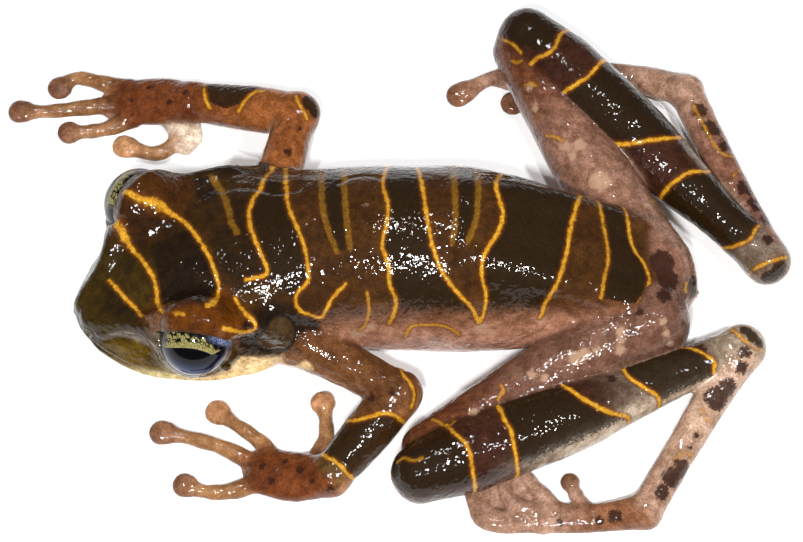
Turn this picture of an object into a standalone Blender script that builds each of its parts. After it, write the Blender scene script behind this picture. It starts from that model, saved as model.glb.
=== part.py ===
"""A tree frog at life size, sitting flat on the floor with its legs folded.

The head, the trunk, each length of limb, each finger and each foot is an object of its own.
Sizes are in millimetres. The floor is z = 0, the snout points along -X and a little to the
frog's own left, and the frog's left side is towards -Y.
"""

import math

import bmesh
import bpy
import numpy as np
from mathutils import Vector

MM = 0.001
GAP = 0.3

# The track of the spine over the floor, from the snout's tip to the vent.
SPINE = (
    (-30.6, -5.19),
    (-26.27, -3.49),
    (-21.95, -1.79),
    (-17.2, 0.05),
    (-12.0, 1.15),
    (-6.0, 1.5),
    (0.0, 1.4),
    (8.0, 1.2),
    (16.0, 0.4),
    (22.0, -0.5),
    (30.0, -1.9),
)

# Sections of head and trunk: distance from the snout, half width, top, bottom, height of the
# widest line, roundness above that line and below it. A roundness of 2 is an ellipse.
SECTIONS = (
    (0.0, 0.0, 6.0, 6.0, 6.0, 1.9, 2.2),
    (0.45, 1.5, 7.6, 4.3, 5.4, 1.9, 2.2),
    (1.0, 2.9, 8.2, 3.3, 5.0, 1.8, 2.2),
    (2.3, 4.7, 8.8, 2.3, 4.6, 1.6, 2.3),
    (4.6, 6.9, 9.6, 1.6, 4.3, 1.6, 2.4),
    (7.8, 8.6, 10.7, 1.1, 4.1, 1.9, 2.5),
    (11.5, 9.9, 11.5, 0.8, 4.0, 2.1, 2.6),
    (15.4, 10.2, 12.1, 0.5, 4.0, 2.1, 2.6),
    (19.0, 9.55, 12.7, 0.2, 4.4, 2.1, 2.7),
    (24.0, 8.7, 13.7, -0.2, 5.2, 2.1, 2.8),
    (31.0, 8.6, 14.9, -0.4, 5.8, 2.1, 2.9),
    (37.0, 8.8, 14.9, -0.4, 5.8, 2.1, 2.9),
    (42.0, 8.2, 14.0, -0.4, 5.6, 2.1, 2.9),
    (48.0, 6.9, 12.2, -0.2, 5.2, 2.0, 2.8),
    (53.5, 5.6, 9.9, 0.5, 4.8, 2.0, 2.5),
    (57.3, 4.0, 7.6, 1.8, 4.6, 2.0, 2.2),
    (59.5, 1.7, 5.8, 3.0, 4.5, 2.0, 2.0),
    (60.2, 0.0, 4.5, 4.5, 4.5, 2.0, 2.0),
)
LENGTH = SECTIONS[-1][0]
NECK = 20.9
VENT = 58.0

# The head leans a little: its left side is raised about the line through ROLL_HEIGHT.
ROLL = math.radians(6.0)
ROLL_HEIGHT = 6.0
ROLL_FROM, ROLL_TO = 14.0, 32.0

# The eyes: centre behind the snout, out to the side and up, and the ball's radius. The opening
# between the lids is a slice of a sphere between two planes through the corners of the eye.
EYE_BACK = 9.3
EYE_SIDE = 7.8
EYE_HEIGHT = 9.2
EYE_RADIUS = 3.45
EYE_FORWARD = math.radians(25.0)
EYE_TILT = math.radians(14.0)
LID = 0.55
LID_TOP = math.radians(76.0)
LID_BOTTOM = math.radians(-38.0)
LID_OVERREACH = 0.4
ORBIT = EYE_RADIUS + GAP + LID

# The rim from nostril to eye, the fold from the eye over the ear drum to the shoulder, and the
# bars of muscle along the back, each a rounded ridge: centres in body measures, then radii.
CANTHUS = (((0.9, 0.9, 7.3), 0.7), ((3.4, 2.6, 8.2), 0.8), ((6.4, 5.4, 9.5), 1.2))
EAR_FOLD = (
    ((12.6, 7.7, 9.8), 1.2),
    ((16.2, 8.1, 9.5), 1.0),
    ((19.4, 8.6, 7.4), 1.0),
    ((21.5, 8.6, 4.9), 0.9),
)
HIP_BAR = (((38.0, 3.0, 12.6), 1.8), ((46.0, 3.6, 10.9), 1.8), ((53.0, 3.6, 8.0), 1.8))
RIDGES = (CANTHUS, EAR_FOLD, HIP_BAR)
ROUNDING = 1.4

NOSTRIL = (0.5, 1.5, 6.1)
NOSTRIL_SIZE = (0.42, 0.28, 0.32)

# The ear drum: how far behind the snout, how steeply up the side of the head, and its rim.
EAR_BACK = 18.1
EAR_RISE = math.radians(25.0)
EAR_RADIUS = 2.1
EAR_FLATTENING = 0.9
EAR_LEAN = 0.55
EAR_GROOVE = 0.34
EAR_SUNK = 0.1

# The mouth is a groove along the widest line of the head, between two lips. It starts and ends
# over a short length, and the lips lie at these steepnesses above and below the groove.
MOUTH_START, MOUTH_FADE_IN = 0.3, 0.6
MOUTH_END, MOUTH_FADE_OUT = 17.6, 1.2
MOUTH_DEPTH = 0.38
MOUTH_WITHIN = 0.01
LIP = 0.16
LIP_FROM, LIP_TO = 0.05, 0.12

# Limbs: each joint's place, then along each length its radius across and its radius up.
SHOULDER_L, SHOULDER_R = (-9.3, -7.0, 5.4), (-12.8, 6.8, 5.8)
ELBOW_L, ELBOW_R = (-0.2, -12.1, 4.8), (-10.1, 17.1, 5.0)
WRIST_L, WRIST_R = (-6.7, -19.5, 2.2), (-20.5, 19.8, 2.3)
HIP_L, HIP_R = (23.6, -4.6, 4.6), (24.0, 0.85, 4.6)
KNEE_L, KNEE_R = (1.8, -20.5, 5.6), (12.3, 25.2, 5.7)
FEMUR_END_L, FEMUR_END_R = (2.3, -17.4, 4.2), (11.3, 24.2, 4.4)
HEEL_L, HEEL_R = (32.4, -6.8, 3.2), (35.1, 2.3, 3.2)
ANKLE_L, ANKLE_R = (22.8, -22.9, 1.8), (27.9, 21.2, 1.8)

UPPER_ARM = ((0.0, 2.6, 2.7), (0.5, 2.1, 2.2), (1.0, 1.9, 2.0))
FOREARM = ((0.0, 2.1, 2.1), (0.35, 2.3, 2.2), (0.7, 2.15, 1.9), (1.0, 1.9, 1.65))
THIGH = (
    (0.0, 3.9, 4.3),
    (0.3, 3.7, 4.0),
    (0.55, 3.3, 3.5),
    (0.8, 2.8, 3.1),
    (1.0, 2.3, 2.7),
)
SHANK = (
    (0.0, 2.8, 3.0),
    (0.18, 3.65, 3.6),
    (0.42, 3.6, 3.6),
    (0.65, 2.8, 2.8),
    (0.85, 2.1, 2.2),
    (1.0, 2.1, 2.1),
)
TARSUS = ((0.0, 2.1, 2.1), (0.3, 1.75, 1.7), (0.7, 1.6, 1.5), (1.0, 1.65, 1.45))

# Hands: the palm's track from the wrist and its radii, then each finger from its root to its tip.
PALM = ((1.9, 1.65), (2.5, 1.4), (2.3, 1.0))
PALM_L = (WRIST_L, (-10.0, -19.2, 1.3), (-13.4, -18.3, 0.9))
PALM_R = (WRIST_R, (-23.9, 20.3, 1.3), (-27.0, 20.4, 0.9))
FINGERS_L = (
    ((-8.6, -17.9), (-7.3, -15.4), (-7.2, -13.4), (-7.47, -11.43)),
    ((-11.6, -18.0), (-13.2, -15.6), (-15.6, -13.7), (-17.46, -12.35)),
    ((-13.0, -18.1), (-16.6, -16.1), (-20.0, -15.0), (-22.74, -14.4)),
    ((-12.9, -19.0), (-15.5, -20.2), (-18.0, -20.5), (-20.44, -19.79)),
)
FINGERS_R = (
    ((-23.6, 19.6), (-21.8, 17.2), (-23.7, 15.0), (-27.15, 15.72)),
    ((-26.4, 18.8), (-28.5, 17.8), (-30.4, 17.4), (-32.58, 17.25)),
    ((-27.6, 20.4), (-30.8, 20.0), (-34.4, 19.55), (-37.47, 19.54)),
    ((-26.9, 22.0), (-29.4, 22.6), (-31.9, 23.2), (-33.63, 22.17)),
)
FINGER_RADIUS = 0.8
DISC_RADIUS = 1.22
DIGIT_HEIGHT = 0.62

# Along a digit: its width as a share of its radius or of its disc's, and its height in addition.
DIGIT_ROOT = ((0.0, 1.15, 0.15), (0.4, 1.05, 0.08), (0.76, 0.85, 0.0))
DIGIT_DISC = ((0.9, 0.85, 0.08), (1.0, 1.0, 0.0))

# Feet: the sole's track from the ankle, then each toe from its root to its tip, first to fifth.
SOLE = ((1.65, 1.45), (1.45, 1.05), (1.5, 0.8))
SOLE_L = (ANKLE_L, (18.0, -23.2, 1.0), (13.6, -23.1, 0.75))
SOLE_R = (ANKLE_R, (24.2, 22.7, 1.0), (19.6, 23.4, 0.75))
TOES_L = (
    ((17.6, -22.6), (16.9, -21.6), (16.4, -20.6), (15.91, -19.5)),
    ((14.6, -22.5), (13.4, -21.0), (12.0, -19.2), (10.9, -17.2)),
    ((13.4, -22.8), (10.4, -21.6), (9.7, -19.4), (9.9, -17.0)),
    ((13.2, -23.2), (8.4, -22.9), (7.7, -20.4), (8.5, -17.2)),
    ((13.2, -23.6), (8.4, -23.7), (6.9, -21.9), (6.7, -19.4)),
)
TOES_R = (
    ((22.6, 21.9), (20.9, 21.0), (19.9, 20.4), (19.0, 19.8)),
    ((20.6, 22.3), (17.8, 21.3), (15.9, 20.7), (14.4, 20.0)),
    ((19.7, 22.4), (16.1, 22.0), (13.2, 21.3), (10.95, 20.4)),
    ((19.4, 22.9), (14.6, 23.6), (9.7, 23.5), (5.6, 21.3)),
    ((19.5, 23.5), (16.2, 24.7), (13.6, 25.7), (11.5, 26.6)),
)
TOE_RADIUS = 0.7
FIRST_WEBBED = 2
WEB_THICKNESS = 0.5
WEB_REACH = 0.8

# How finely each form is faceted.
LIMB_SIDES = 16
LIMB_RINGS = 12
PALM_RINGS = 8
SOLE_SIDES = 14
DIGIT_SIDES = 8
DIGIT_RINGS = 10
CAP_RINGS = 3
HEAD_RINGS = 25
TORSO_RINGS = 20
GROWN_RINGS = 44
EYE_SIDES = 20
NOSTRIL_SIDES = 8
LID_ROWS, LID_COLUMNS = 9, 10
EAR_SIDES, EAR_GROOVE_SIDES = 18, 6
WEB_ROWS, WEB_SAMPLES = 7, 20
TRACK_SAMPLES = 400
HALVINGS = 26
FARTHEST_SKIN = 24.0

# Skin colours, from back to belly and out along the limbs.
COLOURS = {
    "back": (0.075, 0.045, 0.016),
    "limb": (0.17, 0.085, 0.048),
    "hand": (0.36, 0.19, 0.11),
    "eye": (0.02, 0.022, 0.03),
}
SKIN_ROUGHNESS = 0.3
EYE_ROUGHNESS = 0.12


def clear_scene():
    for obj in list(bpy.data.objects):
        bpy.data.objects.remove(obj, do_unlink=True)


def material(name, colour, roughness):
    made = bpy.data.materials.new(name)
    made.use_nodes = True
    shader = made.node_tree.nodes["Principled BSDF"]
    shader.inputs["Base Color"].default_value = (*colour, 1.0)
    shader.inputs["Roughness"].default_value = roughness
    shader.inputs["Metallic"].default_value = 0.0
    return made


def smooth_track(points, samples):
    """Points evenly spaced along the smooth curve through the given ones."""
    points = np.asarray(points, float)
    ends = np.vstack((2 * points[0] - points[1], points, 2 * points[-1] - points[-2]))
    dense = []
    for i in range(len(points) - 1):
        a, b, c, d = ends[i : i + 4]
        for t in np.linspace(0, 1, 24, endpoint=False):
            dense.append(
                b
                + 0.5 * t * (c - a)
                + t * t * (a - 2.5 * b + 2 * c - 0.5 * d)
                + t**3 * (-0.5 * a + 1.5 * b - 1.5 * c + 0.5 * d)
            )
    dense.append(points[-1])
    dense = np.array(dense)
    along = np.concatenate(([0], np.cumsum(np.linalg.norm(np.diff(dense, axis=0), axis=1))))
    if np.isscalar(samples):
        samples = np.linspace(0, along[-1], samples)
    return np.stack([np.interp(samples, along, column) for column in dense.T], axis=1)


def eased(x, xs, ys):
    """A smooth curve through the values ys at xs, which never runs past them."""
    xs, ys = np.asarray(xs, float), np.asarray(ys, float)
    steps = np.diff(ys) / np.diff(xs)
    slopes = np.zeros(len(xs))
    turning = steps[:-1] * steps[1:] > 0
    slopes[1:-1][turning] = 2 / (1 / steps[:-1][turning] + 1 / steps[1:][turning])
    slopes[0], slopes[-1] = steps[0], steps[-1]
    i = np.clip(np.searchsorted(xs, x) - 1, 0, len(xs) - 2)
    width = xs[i + 1] - xs[i]
    t = np.clip((x - xs[i]) / width, 0, 1)
    start = ys[i] * (1 + 2 * t) * (1 - t) ** 2 + slopes[i] * width * t * (1 - t) ** 2
    end = ys[i + 1] * t * t * (3 - 2 * t) + slopes[i + 1] * width * t * t * (t - 1)
    return start + end


def stretch(back):
    """Distance behind the snout as an angle, which makes both ends of the body round."""
    return np.arccos(np.clip(1 - 2 * np.asarray(back, float) / LENGTH, -1, 1))


def section(back):
    """Half width, top, bottom, widest height and both roundnesses at a place along the body."""
    table = np.array(SECTIONS)
    return [eased(stretch(back), stretch(table[:, 0]), table[:, k]) for k in range(1, 7)]


def to_world(back, side, height):
    """A place in body measures (behind the snout, to the frog's left, up) as x, y and z."""
    back = np.asarray(back, float)
    roll = ROLL * eased(back, (ROLL_FROM, ROLL_TO), (1.0, 0.0))
    lift = height - ROLL_HEIGHT
    side, height = (
        side * np.cos(roll) - lift * np.sin(roll),
        ROLL_HEIGHT + side * np.sin(roll) + lift * np.cos(roll),
    )
    marks = np.linspace(0, LENGTH, TRACK_SAMPLES)
    track = smooth_track(SPINE, marks)
    heading = np.gradient(track, axis=0)
    heading /= np.linalg.norm(heading, axis=1)[:, None]
    x, y = (np.interp(back, marks, track[:, k]) for k in (0, 1))
    dx, dy = (np.interp(back, marks, heading[:, k]) for k in (0, 1))
    return np.stack((x + dy * side, y - dx * side, height + 0 * x), axis=-1)


def ridge_field(p, ridge):
    """Distance to a rounded ridge, on both sides of the body, less than zero inside it."""
    p = np.stack((p[0], np.abs(p[1]), p[2]), axis=-1)
    nearest = np.full(p.shape[:-1], np.inf)
    for (a, ra), (b, rb) in zip(ridge, ridge[1:]):
        a, b = np.array(a), np.array(b)
        t = np.clip(((p - a) @ (b - a)) / ((b - a) @ (b - a)), 0, 1)
        gap = np.linalg.norm(p - a - t[..., None] * (b - a), axis=-1) - (ra + t * (rb - ra))
        nearest = np.minimum(nearest, gap)
    return nearest


def blend(a, b, rounding):
    """The lesser of two distances, with the corner between them rounded."""
    h = np.clip(0.5 + 0.5 * (b - a) / rounding, 0, 1)
    return b + (a - b) * h - rounding * h * (1 - h)


def body_field(back, side, height):
    """Less than zero inside the head and trunk, zero on the skin."""
    half, top, bottom, middle, above, below = section(back)
    half = np.maximum(half, 1e-3)
    over = height > middle
    reach = np.maximum(np.where(over, top - middle, middle - bottom), 1e-3)
    power = np.where(over, above, below)
    ratio = (np.abs(side) / half) ** power + (np.abs(height - middle) / reach) ** power
    field = (ratio ** (1 / power) - 1) * np.minimum(half, reach)
    orbit = np.sqrt((back - EYE_BACK) ** 2 + (np.abs(side) - EYE_SIDE) ** 2 + (height - EYE_HEIGHT) ** 2)
    field = blend(field, orbit - ORBIT, ROUNDING)
    for ridge in RIDGES:
        field = blend(field, ridge_field((back, side, height), ridge), ROUNDING)
    return field


def skin_radius(back, angle):
    """How far the skin is from the section's centre in the direction of each angle."""
    middle = section(back)[3]
    near, far = np.zeros_like(angle), np.full_like(angle, FARTHEST_SKIN)
    for _ in range(HALVINGS):
        tried = (near + far) / 2
        inside = body_field(back, tried * np.cos(angle), middle + tried * np.sin(angle)) < 0
        near, far = np.where(inside, tried, near), np.where(inside, far, tried)
    return near, middle


def ring_angles():
    """Angles round a section, closest together at the lips on either side."""
    up = np.radians([0, 4, 9, 16, 24, 32, 40, 48, 56, 64, 72, 81])
    down = np.radians([5, 11, 20, 31, 43, 56, 69, 80])
    left = np.concatenate((-down[::-1], up))
    return np.concatenate(([-math.pi / 2], left, [math.pi / 2], math.pi - left[::-1]))


def body_rings(places, grown=0.0):
    """Rings of points round the body at each place, which may lie a little outside the skin."""
    angles = ring_angles()
    back, angle = np.meshgrid(places, angles, indexing="ij")
    radius, middle = skin_radius(back, angle)
    level = np.abs(np.sin(angle))
    mouth = np.clip((MOUTH_END - back) / MOUTH_FADE_OUT, 0, 1)
    mouth = mouth * np.clip((back - MOUTH_START) / MOUTH_FADE_IN, 0, 1)
    lips = (level > LIP_FROM) & (level < LIP_TO)
    groove = (level < MOUTH_WITHIN) * MOUTH_DEPTH - lips * LIP
    radius = np.maximum(radius - mouth * groove * (grown == 0), 0.02) + grown
    points = to_world(back, radius * np.cos(angle), middle + radius * np.sin(angle))
    points[..., 2] = np.maximum(points[..., 2], 0.0 - grown)
    return points


def mesh_object(name, points, faces, skin):
    mesh = bpy.data.meshes.new(name)
    mesh.from_pydata([tuple(p) for p in np.asarray(points) * MM], [], faces)
    mesh.materials.append(skin)
    obj = bpy.data.objects.new(name, mesh)
    bpy.context.scene.collection.objects.link(obj)
    work = bmesh.new()
    work.from_mesh(mesh)
    bmesh.ops.remove_doubles(work, verts=work.verts, dist=1e-6)
    bmesh.ops.recalc_face_normals(work, faces=work.faces)
    work.to_mesh(mesh)
    work.free()
    mesh.shade_smooth()
    return obj


def skinned(name, rings, skin, poles=(None, None)):
    """One closed surface over a row of rings, each end drawn to a point or shut flat."""
    count = len(rings[0])
    points = [p for ring in rings for p in ring]
    faces = []
    for i in range(len(rings) - 1):
        for j in range(count):
            k = (j + 1) % count
            faces.append((i * count + j, i * count + k, (i + 1) * count + k, (i + 1) * count + j))
    for end, pole in enumerate(poles):
        first = end * (len(rings) - 1) * count
        if pole is None:
            faces.append(tuple(range(first, first + count)))
            continue
        points.append(pole)
        faces += [(first + j, first + (j + 1) % count, len(points) - 1) for j in range(count)]
    return mesh_object(name, points, faces, skin)


def body_piece(name, start, end, count, skin, grown=0.0):
    """A length of the body between two places, drawn to a point at the snout or the vent."""
    turns = np.linspace(stretch(start), stretch(end), count)
    places = LENGTH * (1 - np.cos(turns)) / 2
    poles = [None, None]
    if start == 0:
        poles[0] = to_world(0.0 - grown, 0.0, SECTIONS[0][2])
        places = places[1:]
    if end == LENGTH:
        poles[1] = to_world(LENGTH + grown, 0.0, SECTIONS[-1][2])
        places = places[:-1]
    return skinned(name, body_rings(places, grown), skin, poles)


def tube(name, track, radii, sides, rings, skin, grown=0.0, tip=None):
    """A limb along a track of points, with radii (along, across, up) and round ends."""
    centres = smooth_track(track, rings)
    along = np.linspace(0, 1, rings)
    marks, across, up = np.array(radii).T
    wide, tall = eased(along, marks, across) + grown, eased(along, marks, up) + grown
    heading = np.gradient(centres, axis=0)
    heading /= np.linalg.norm(heading, axis=1)[:, None]
    rows = [(centres[i], heading[i], wide[i], tall[i]) for i in range(rings)]
    reaches = {0: -min(wide[0], tall[0]), -1: tip or min(wide[-1], tall[-1])}
    for step in range(1, CAP_RINGS):
        turn = step * math.pi / 2 / CAP_RINGS
        for end, way in ((0, -1), (-1, 1)):
            row = (
                centres[end] + heading[end] * reaches[end] * math.sin(turn),
                heading[end],
                wide[end] * math.cos(turn),
                tall[end] * math.cos(turn),
            )
            rows.insert(0 if way < 0 else len(rows), row)
    turns = np.linspace(0, 2 * math.pi, sides, endpoint=False)
    loops = []
    for centre, ahead, a, b in rows:
        out = np.array((ahead[1], -ahead[0], 0.0))
        out /= np.linalg.norm(out)
        lift = np.cross(out, ahead)
        lift *= 1 if lift[2] > 0 else -1
        loop = centre + np.outer(a * np.cos(turns), out) + np.outer(b * np.sin(turns), lift)
        loop[:, 2] = np.maximum(loop[:, 2], 0.0 - grown)
        loops.append(loop)
    poles = []
    for end in (0, -1):
        pole = centres[end] + heading[end] * reaches[end]
        poles.append((pole[0], pole[1], max(pole[2], 0.0 - grown)))
    return skinned(name, loops, skin, poles)


def slice_at(obj, joint, towards):
    """Cuts a limb square at a joint and keeps what lies in the given direction."""
    towards = Vector(towards).normalized()
    work = bmesh.new()
    work.from_mesh(obj.data)
    place = (Vector(joint) + towards * GAP / 2) * MM
    everything = work.verts[:] + work.edges[:] + work.faces[:]
    bmesh.ops.bisect_plane(
        work, geom=everything, dist=1e-7, plane_co=place, plane_no=towards, clear_inner=True
    )
    bmesh.ops.holes_fill(work, edges=work.edges[:], sides=0)
    bmesh.ops.recalc_face_normals(work, faces=work.faces)
    work.to_mesh(obj.data)
    work.free()


def part_at(first, second, joint, far_first, far_second):
    """Parts two lengths of limb in the plane that halves the angle between them."""
    one = (Vector(far_first) - Vector(joint)).normalized()
    two = (Vector(far_second) - Vector(joint)).normalized()
    slice_at(first, joint, one - two)
    slice_at(second, joint, two - one)


def settle(obj, modifier):
    """Replaces the object's mesh by what its modifier makes, keeping its largest surface."""
    graph = bpy.context.evaluated_depsgraph_get()
    mesh = bpy.data.meshes.new_from_object(obj.evaluated_get(graph))
    obj.modifiers.remove(modifier)
    obj.data = mesh
    keep_largest(mesh)


def keep_largest(mesh):
    work = bmesh.new()
    work.from_mesh(mesh)
    bmesh.ops.triangulate(work, faces=work.faces)
    bmesh.ops.remove_doubles(work, verts=work.verts, dist=1e-7)
    left, groups = set(work.verts), []
    while left:
        group, edge = set(), [left.pop()]
        while edge:
            vert = edge.pop()
            group.add(vert)
            fresh = [e.other_vert(vert) for e in vert.link_edges]
            fresh = [v for v in fresh if v in left]
            left.difference_update(fresh)
            edge += fresh
        groups.append(group)
    largest = max(groups, key=len)
    bmesh.ops.delete(work, geom=[v for v in work.verts if v not in largest], context="VERTS")
    work.to_mesh(mesh)
    work.free()
    mesh.shade_smooth()


def carve(obj, cutters):
    """Cuts each cutter out of the object and takes the cutters away."""
    for cutter in cutters:
        modifier = obj.modifiers.new("cut", "BOOLEAN")
        modifier.operation = "DIFFERENCE"
        modifier.object = cutter
        settle(obj, modifier)
    for cutter in cutters:
        bpy.data.objects.remove(cutter, do_unlink=True)


def fuse(obj, pieces):
    """Joins the pieces to the object in one union and takes them away."""
    group = bpy.data.collections.new("pieces")
    bpy.context.scene.collection.children.link(group)
    for piece in pieces:
        group.objects.link(piece)
        bpy.context.scene.collection.objects.unlink(piece)
    modifier = obj.modifiers.new("join", "BOOLEAN")
    modifier.operation = "UNION"
    modifier.operand_type = "COLLECTION"
    modifier.collection = group
    modifier.solver = "MANIFOLD"
    settle(obj, modifier)
    for piece in pieces:
        bpy.data.objects.remove(piece, do_unlink=True)
    bpy.data.collections.remove(group)


def ball(name, centre, radii, skin, sides=EYE_SIDES):
    """A ball or an egg at a place, with its radii along the body, across it and up."""
    work = bmesh.new()
    bmesh.ops.create_uvsphere(work, u_segments=sides, v_segments=sides * 2 // 3, radius=1.0)
    points = [tuple(np.array(v.co) * radii) for v in work.verts]
    faces = [tuple(v.index for v in f.verts) for f in work.faces]
    work.free()
    return mesh_object(name, np.array(points) + centre, faces, skin)


def eye_axes(side):
    """The eye's own directions: from its front corner to its back one, out, and up."""
    ahead = to_world(EYE_BACK - 1, 0, 0) - to_world(EYE_BACK, 0, 0)
    left = to_world(EYE_BACK, 1, 0) - to_world(EYE_BACK, 0, 0)
    out = left * side * math.cos(EYE_FORWARD) + ahead * math.sin(EYE_FORWARD)
    corners = -ahead * math.cos(EYE_FORWARD) + left * side * math.sin(EYE_FORWARD)
    corners = corners * math.cos(EYE_TILT) - np.array((0, 0, 1)) * math.sin(EYE_TILT)
    up = np.cross(out, corners)
    return corners, out, up if up[2] > 0 else -up


def lid_opening(side, skin):
    """The space between the lids, like a slice of an orange with its ends at the eye's corners."""
    corners, out, up = eye_axes(side)
    centre = to_world(EYE_BACK, side * EYE_SIDE, EYE_HEIGHT)
    reach = ORBIT + LID_OVERREACH
    points, faces = [], []
    for i in range(LID_COLUMNS + 1):
        lift = LID_BOTTOM + (LID_TOP - LID_BOTTOM) * i / LID_COLUMNS
        spoke = out * math.cos(lift) + up * math.sin(lift)
        for j in range(1, LID_ROWS):
            turn = math.pi * j / LID_ROWS
            points.append(centre + reach * (math.sin(turn) * spoke - math.cos(turn) * corners))
    first, last = len(points), len(points) + 1
    points += [centre - reach * corners, centre + reach * corners]
    step = LID_ROWS - 1
    for i in range(LID_COLUMNS):
        faces.append((first, i * step, (i + 1) * step))
        faces.append((last, (i + 1) * step + step - 1, i * step + step - 1))
        for j in range(step - 1):
            k = i * step + j
            faces.append((k, k + 1, k + 1 + step, k + step))
    for row in (0, LID_COLUMNS):
        faces.append(tuple([first, *range(row * step, (row + 1) * step), last]))
    return mesh_object("lid_opening", points, faces, skin)


def ear_ring(side, skin):
    """A thin ring set in the side of the head, which cuts the groove round the ear drum."""
    radius, middle = skin_radius(np.array([EAR_BACK]), np.array([EAR_RISE]))
    across = side * radius[0] * math.cos(EAR_RISE)
    centre = to_world(EAR_BACK, across, middle[0] + radius[0] * math.sin(EAR_RISE))
    out = to_world(EAR_BACK, side, 0.0) - to_world(EAR_BACK, 0.0, 0.0)
    out = np.array(Vector(out + (0, 0, EAR_LEAN)).normalized())
    along = np.array(Vector(np.cross(out, (0, 0, 1))).normalized())
    up = np.cross(along, out) * EAR_FLATTENING
    points, faces = [], []
    for i in range(EAR_SIDES):
        turn = 2 * math.pi * i / EAR_SIDES
        spoke = along * math.cos(turn) + up * math.sin(turn)
        this, following = i * EAR_GROOVE_SIDES, (i + 1) % EAR_SIDES * EAR_GROOVE_SIDES
        for j in range(EAR_GROOVE_SIDES):
            bend = 2 * math.pi * j / EAR_GROOVE_SIDES
            reach = EAR_RADIUS + EAR_GROOVE * math.cos(bend)
            points.append(centre + spoke * reach + out * (EAR_GROOVE * math.sin(bend) - EAR_SUNK))
            k = (j + 1) % EAR_GROOVE_SIDES
            faces.append((this + j, following + j, following + k, this + k))
    return mesh_object("ear_ring", points, faces, skin)


def make_head(skins):
    head = body_piece("head", 0, NECK - GAP / 2, HEAD_RINGS, skins["back"])
    cutters = []
    for side in (1, -1):
        centre = to_world(EYE_BACK, side * EYE_SIDE, EYE_HEIGHT)
        cutters.append(lid_opening(side, skins["back"]))
        cutters.append(ball("socket", centre, (EYE_RADIUS + GAP,) * 3, skins["back"]))
        cutters.append(ear_ring(side, skins["back"]))
        nostril = to_world(NOSTRIL[0], side * NOSTRIL[1], NOSTRIL[2])
        cutters.append(ball("nostril", nostril, NOSTRIL_SIZE, skins["back"], NOSTRIL_SIDES))
    carve(head, cutters)
    return head


def make_eye(name, side, skins):
    centre = to_world(EYE_BACK, side * EYE_SIDE, EYE_HEIGHT)
    return ball(name, centre, (EYE_RADIUS,) * 3, skins["eye"])


def limb(name, start, end, radii, skins):
    return tube(name, (start, end), radii, LIMB_SIDES, LIMB_RINGS, skins["limb"])


def hand_tube(name, palm, skins, grown=0.0):
    radii = [(t, *PALM[i]) for i, t in enumerate((0.0, 0.5, 1.0))]
    return tube(name, palm, radii, LIMB_SIDES, PALM_RINGS, skins["hand"], grown)


def make_arm(word, shoulder, elbow, wrist, palm, skins):
    upper = limb("upper_arm_" + word, shoulder, elbow, UPPER_ARM, skins)
    fore = limb("forearm_" + word, elbow, wrist, FOREARM, skins)
    part_at(upper, fore, elbow, shoulder, wrist)
    hand = hand_tube("palm_" + word, palm, skins)
    part_at(fore, hand, wrist, elbow, palm[1])
    carve(upper, [body_piece("grown", 0, LENGTH, GROWN_RINGS, skins["back"], GAP)])


def make_fingers(word, palm, fingers, skins):
    for i, finger in enumerate(fingers):
        name = f"finger_{i + 1}_{word}"
        obj = digit(name, finger, FINGER_RADIUS, skins["hand"])
        carve(obj, [hand_tube("grown", palm, skins, GAP)])


def digit(name, track, radius, skin):
    """A finger or toe that ends in a round climbing disc."""
    points = [(x, y, DIGIT_HEIGHT) for x, y in track]
    radii = [(t, radius * share, DIGIT_HEIGHT + extra) for t, share, extra in DIGIT_ROOT]
    radii += [(t, DISC_RADIUS * share, DIGIT_HEIGHT + extra) for t, share, extra in DIGIT_DISC]
    return tube(name, points, radii, DIGIT_SIDES, DIGIT_RINGS, skin, tip=DISC_RADIUS)


def web(name, one, two, skin):
    """The thin skin between two toes, from their roots out to most of their length."""
    kept = int(WEB_SAMPLES * WEB_REACH)
    first = smooth_track(one, WEB_SAMPLES)[:kept]
    second = smooth_track(two, WEB_SAMPLES)[:kept]
    low, high = DIGIT_HEIGHT - WEB_THICKNESS / 2, DIGIT_HEIGHT + WEB_THICKNESS / 2
    rings = []
    for k in np.linspace(0, kept - 1, WEB_ROWS).astype(int):
        a, b = first[k], second[k]
        rings.append([(*a, low), (*b, low), (*b, high), (*a, high)])
    return skinned(name, rings, skin)


def make_foot(word, sole, toes, skins):
    radii = [(t, *SOLE[i]) for i, t in enumerate((0.0, 0.5, 1.0))]
    foot = tube("foot_" + word, sole, radii, SOLE_SIDES, PALM_RINGS, skins["hand"])
    pieces = [digit(f"toe_{i}", toe, TOE_RADIUS, skins["hand"]) for i, toe in enumerate(toes)]
    webbed = zip(toes[FIRST_WEBBED - 1 :], toes[FIRST_WEBBED:])
    pieces += [web(f"web_{i}", a, b, skins["hand"]) for i, (a, b) in enumerate(webbed)]
    fuse(foot, pieces)
    return foot


def make_leg(word, hip, femur_end, knee, heel, ankle, sole, toes, skins):
    thigh = limb("thigh_" + word, hip, femur_end, THIGH, skins)
    shank = limb("shank_" + word, knee, heel, SHANK, skins)
    tarsus = limb("tarsus_" + word, heel, ankle, TARSUS, skins)
    part_at(shank, tarsus, heel, knee, ankle)
    foot = make_foot(word, sole, toes, skins)
    part_at(tarsus, foot, ankle, heel, sole[1])
    body = body_piece("grown", 0, LENGTH, GROWN_RINGS, skins["back"], GAP)
    shin = tube("grown", (knee, heel), SHANK, LIMB_SIDES, LIMB_RINGS, skins["limb"], GAP)
    carve(thigh, [body, shin])
    side = 1 if word == "left" else -1
    slice_at(thigh, to_world(VENT, 0.0, 5.0), to_world(VENT, side, 5.0) - to_world(VENT, 0.0, 5.0))


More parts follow.
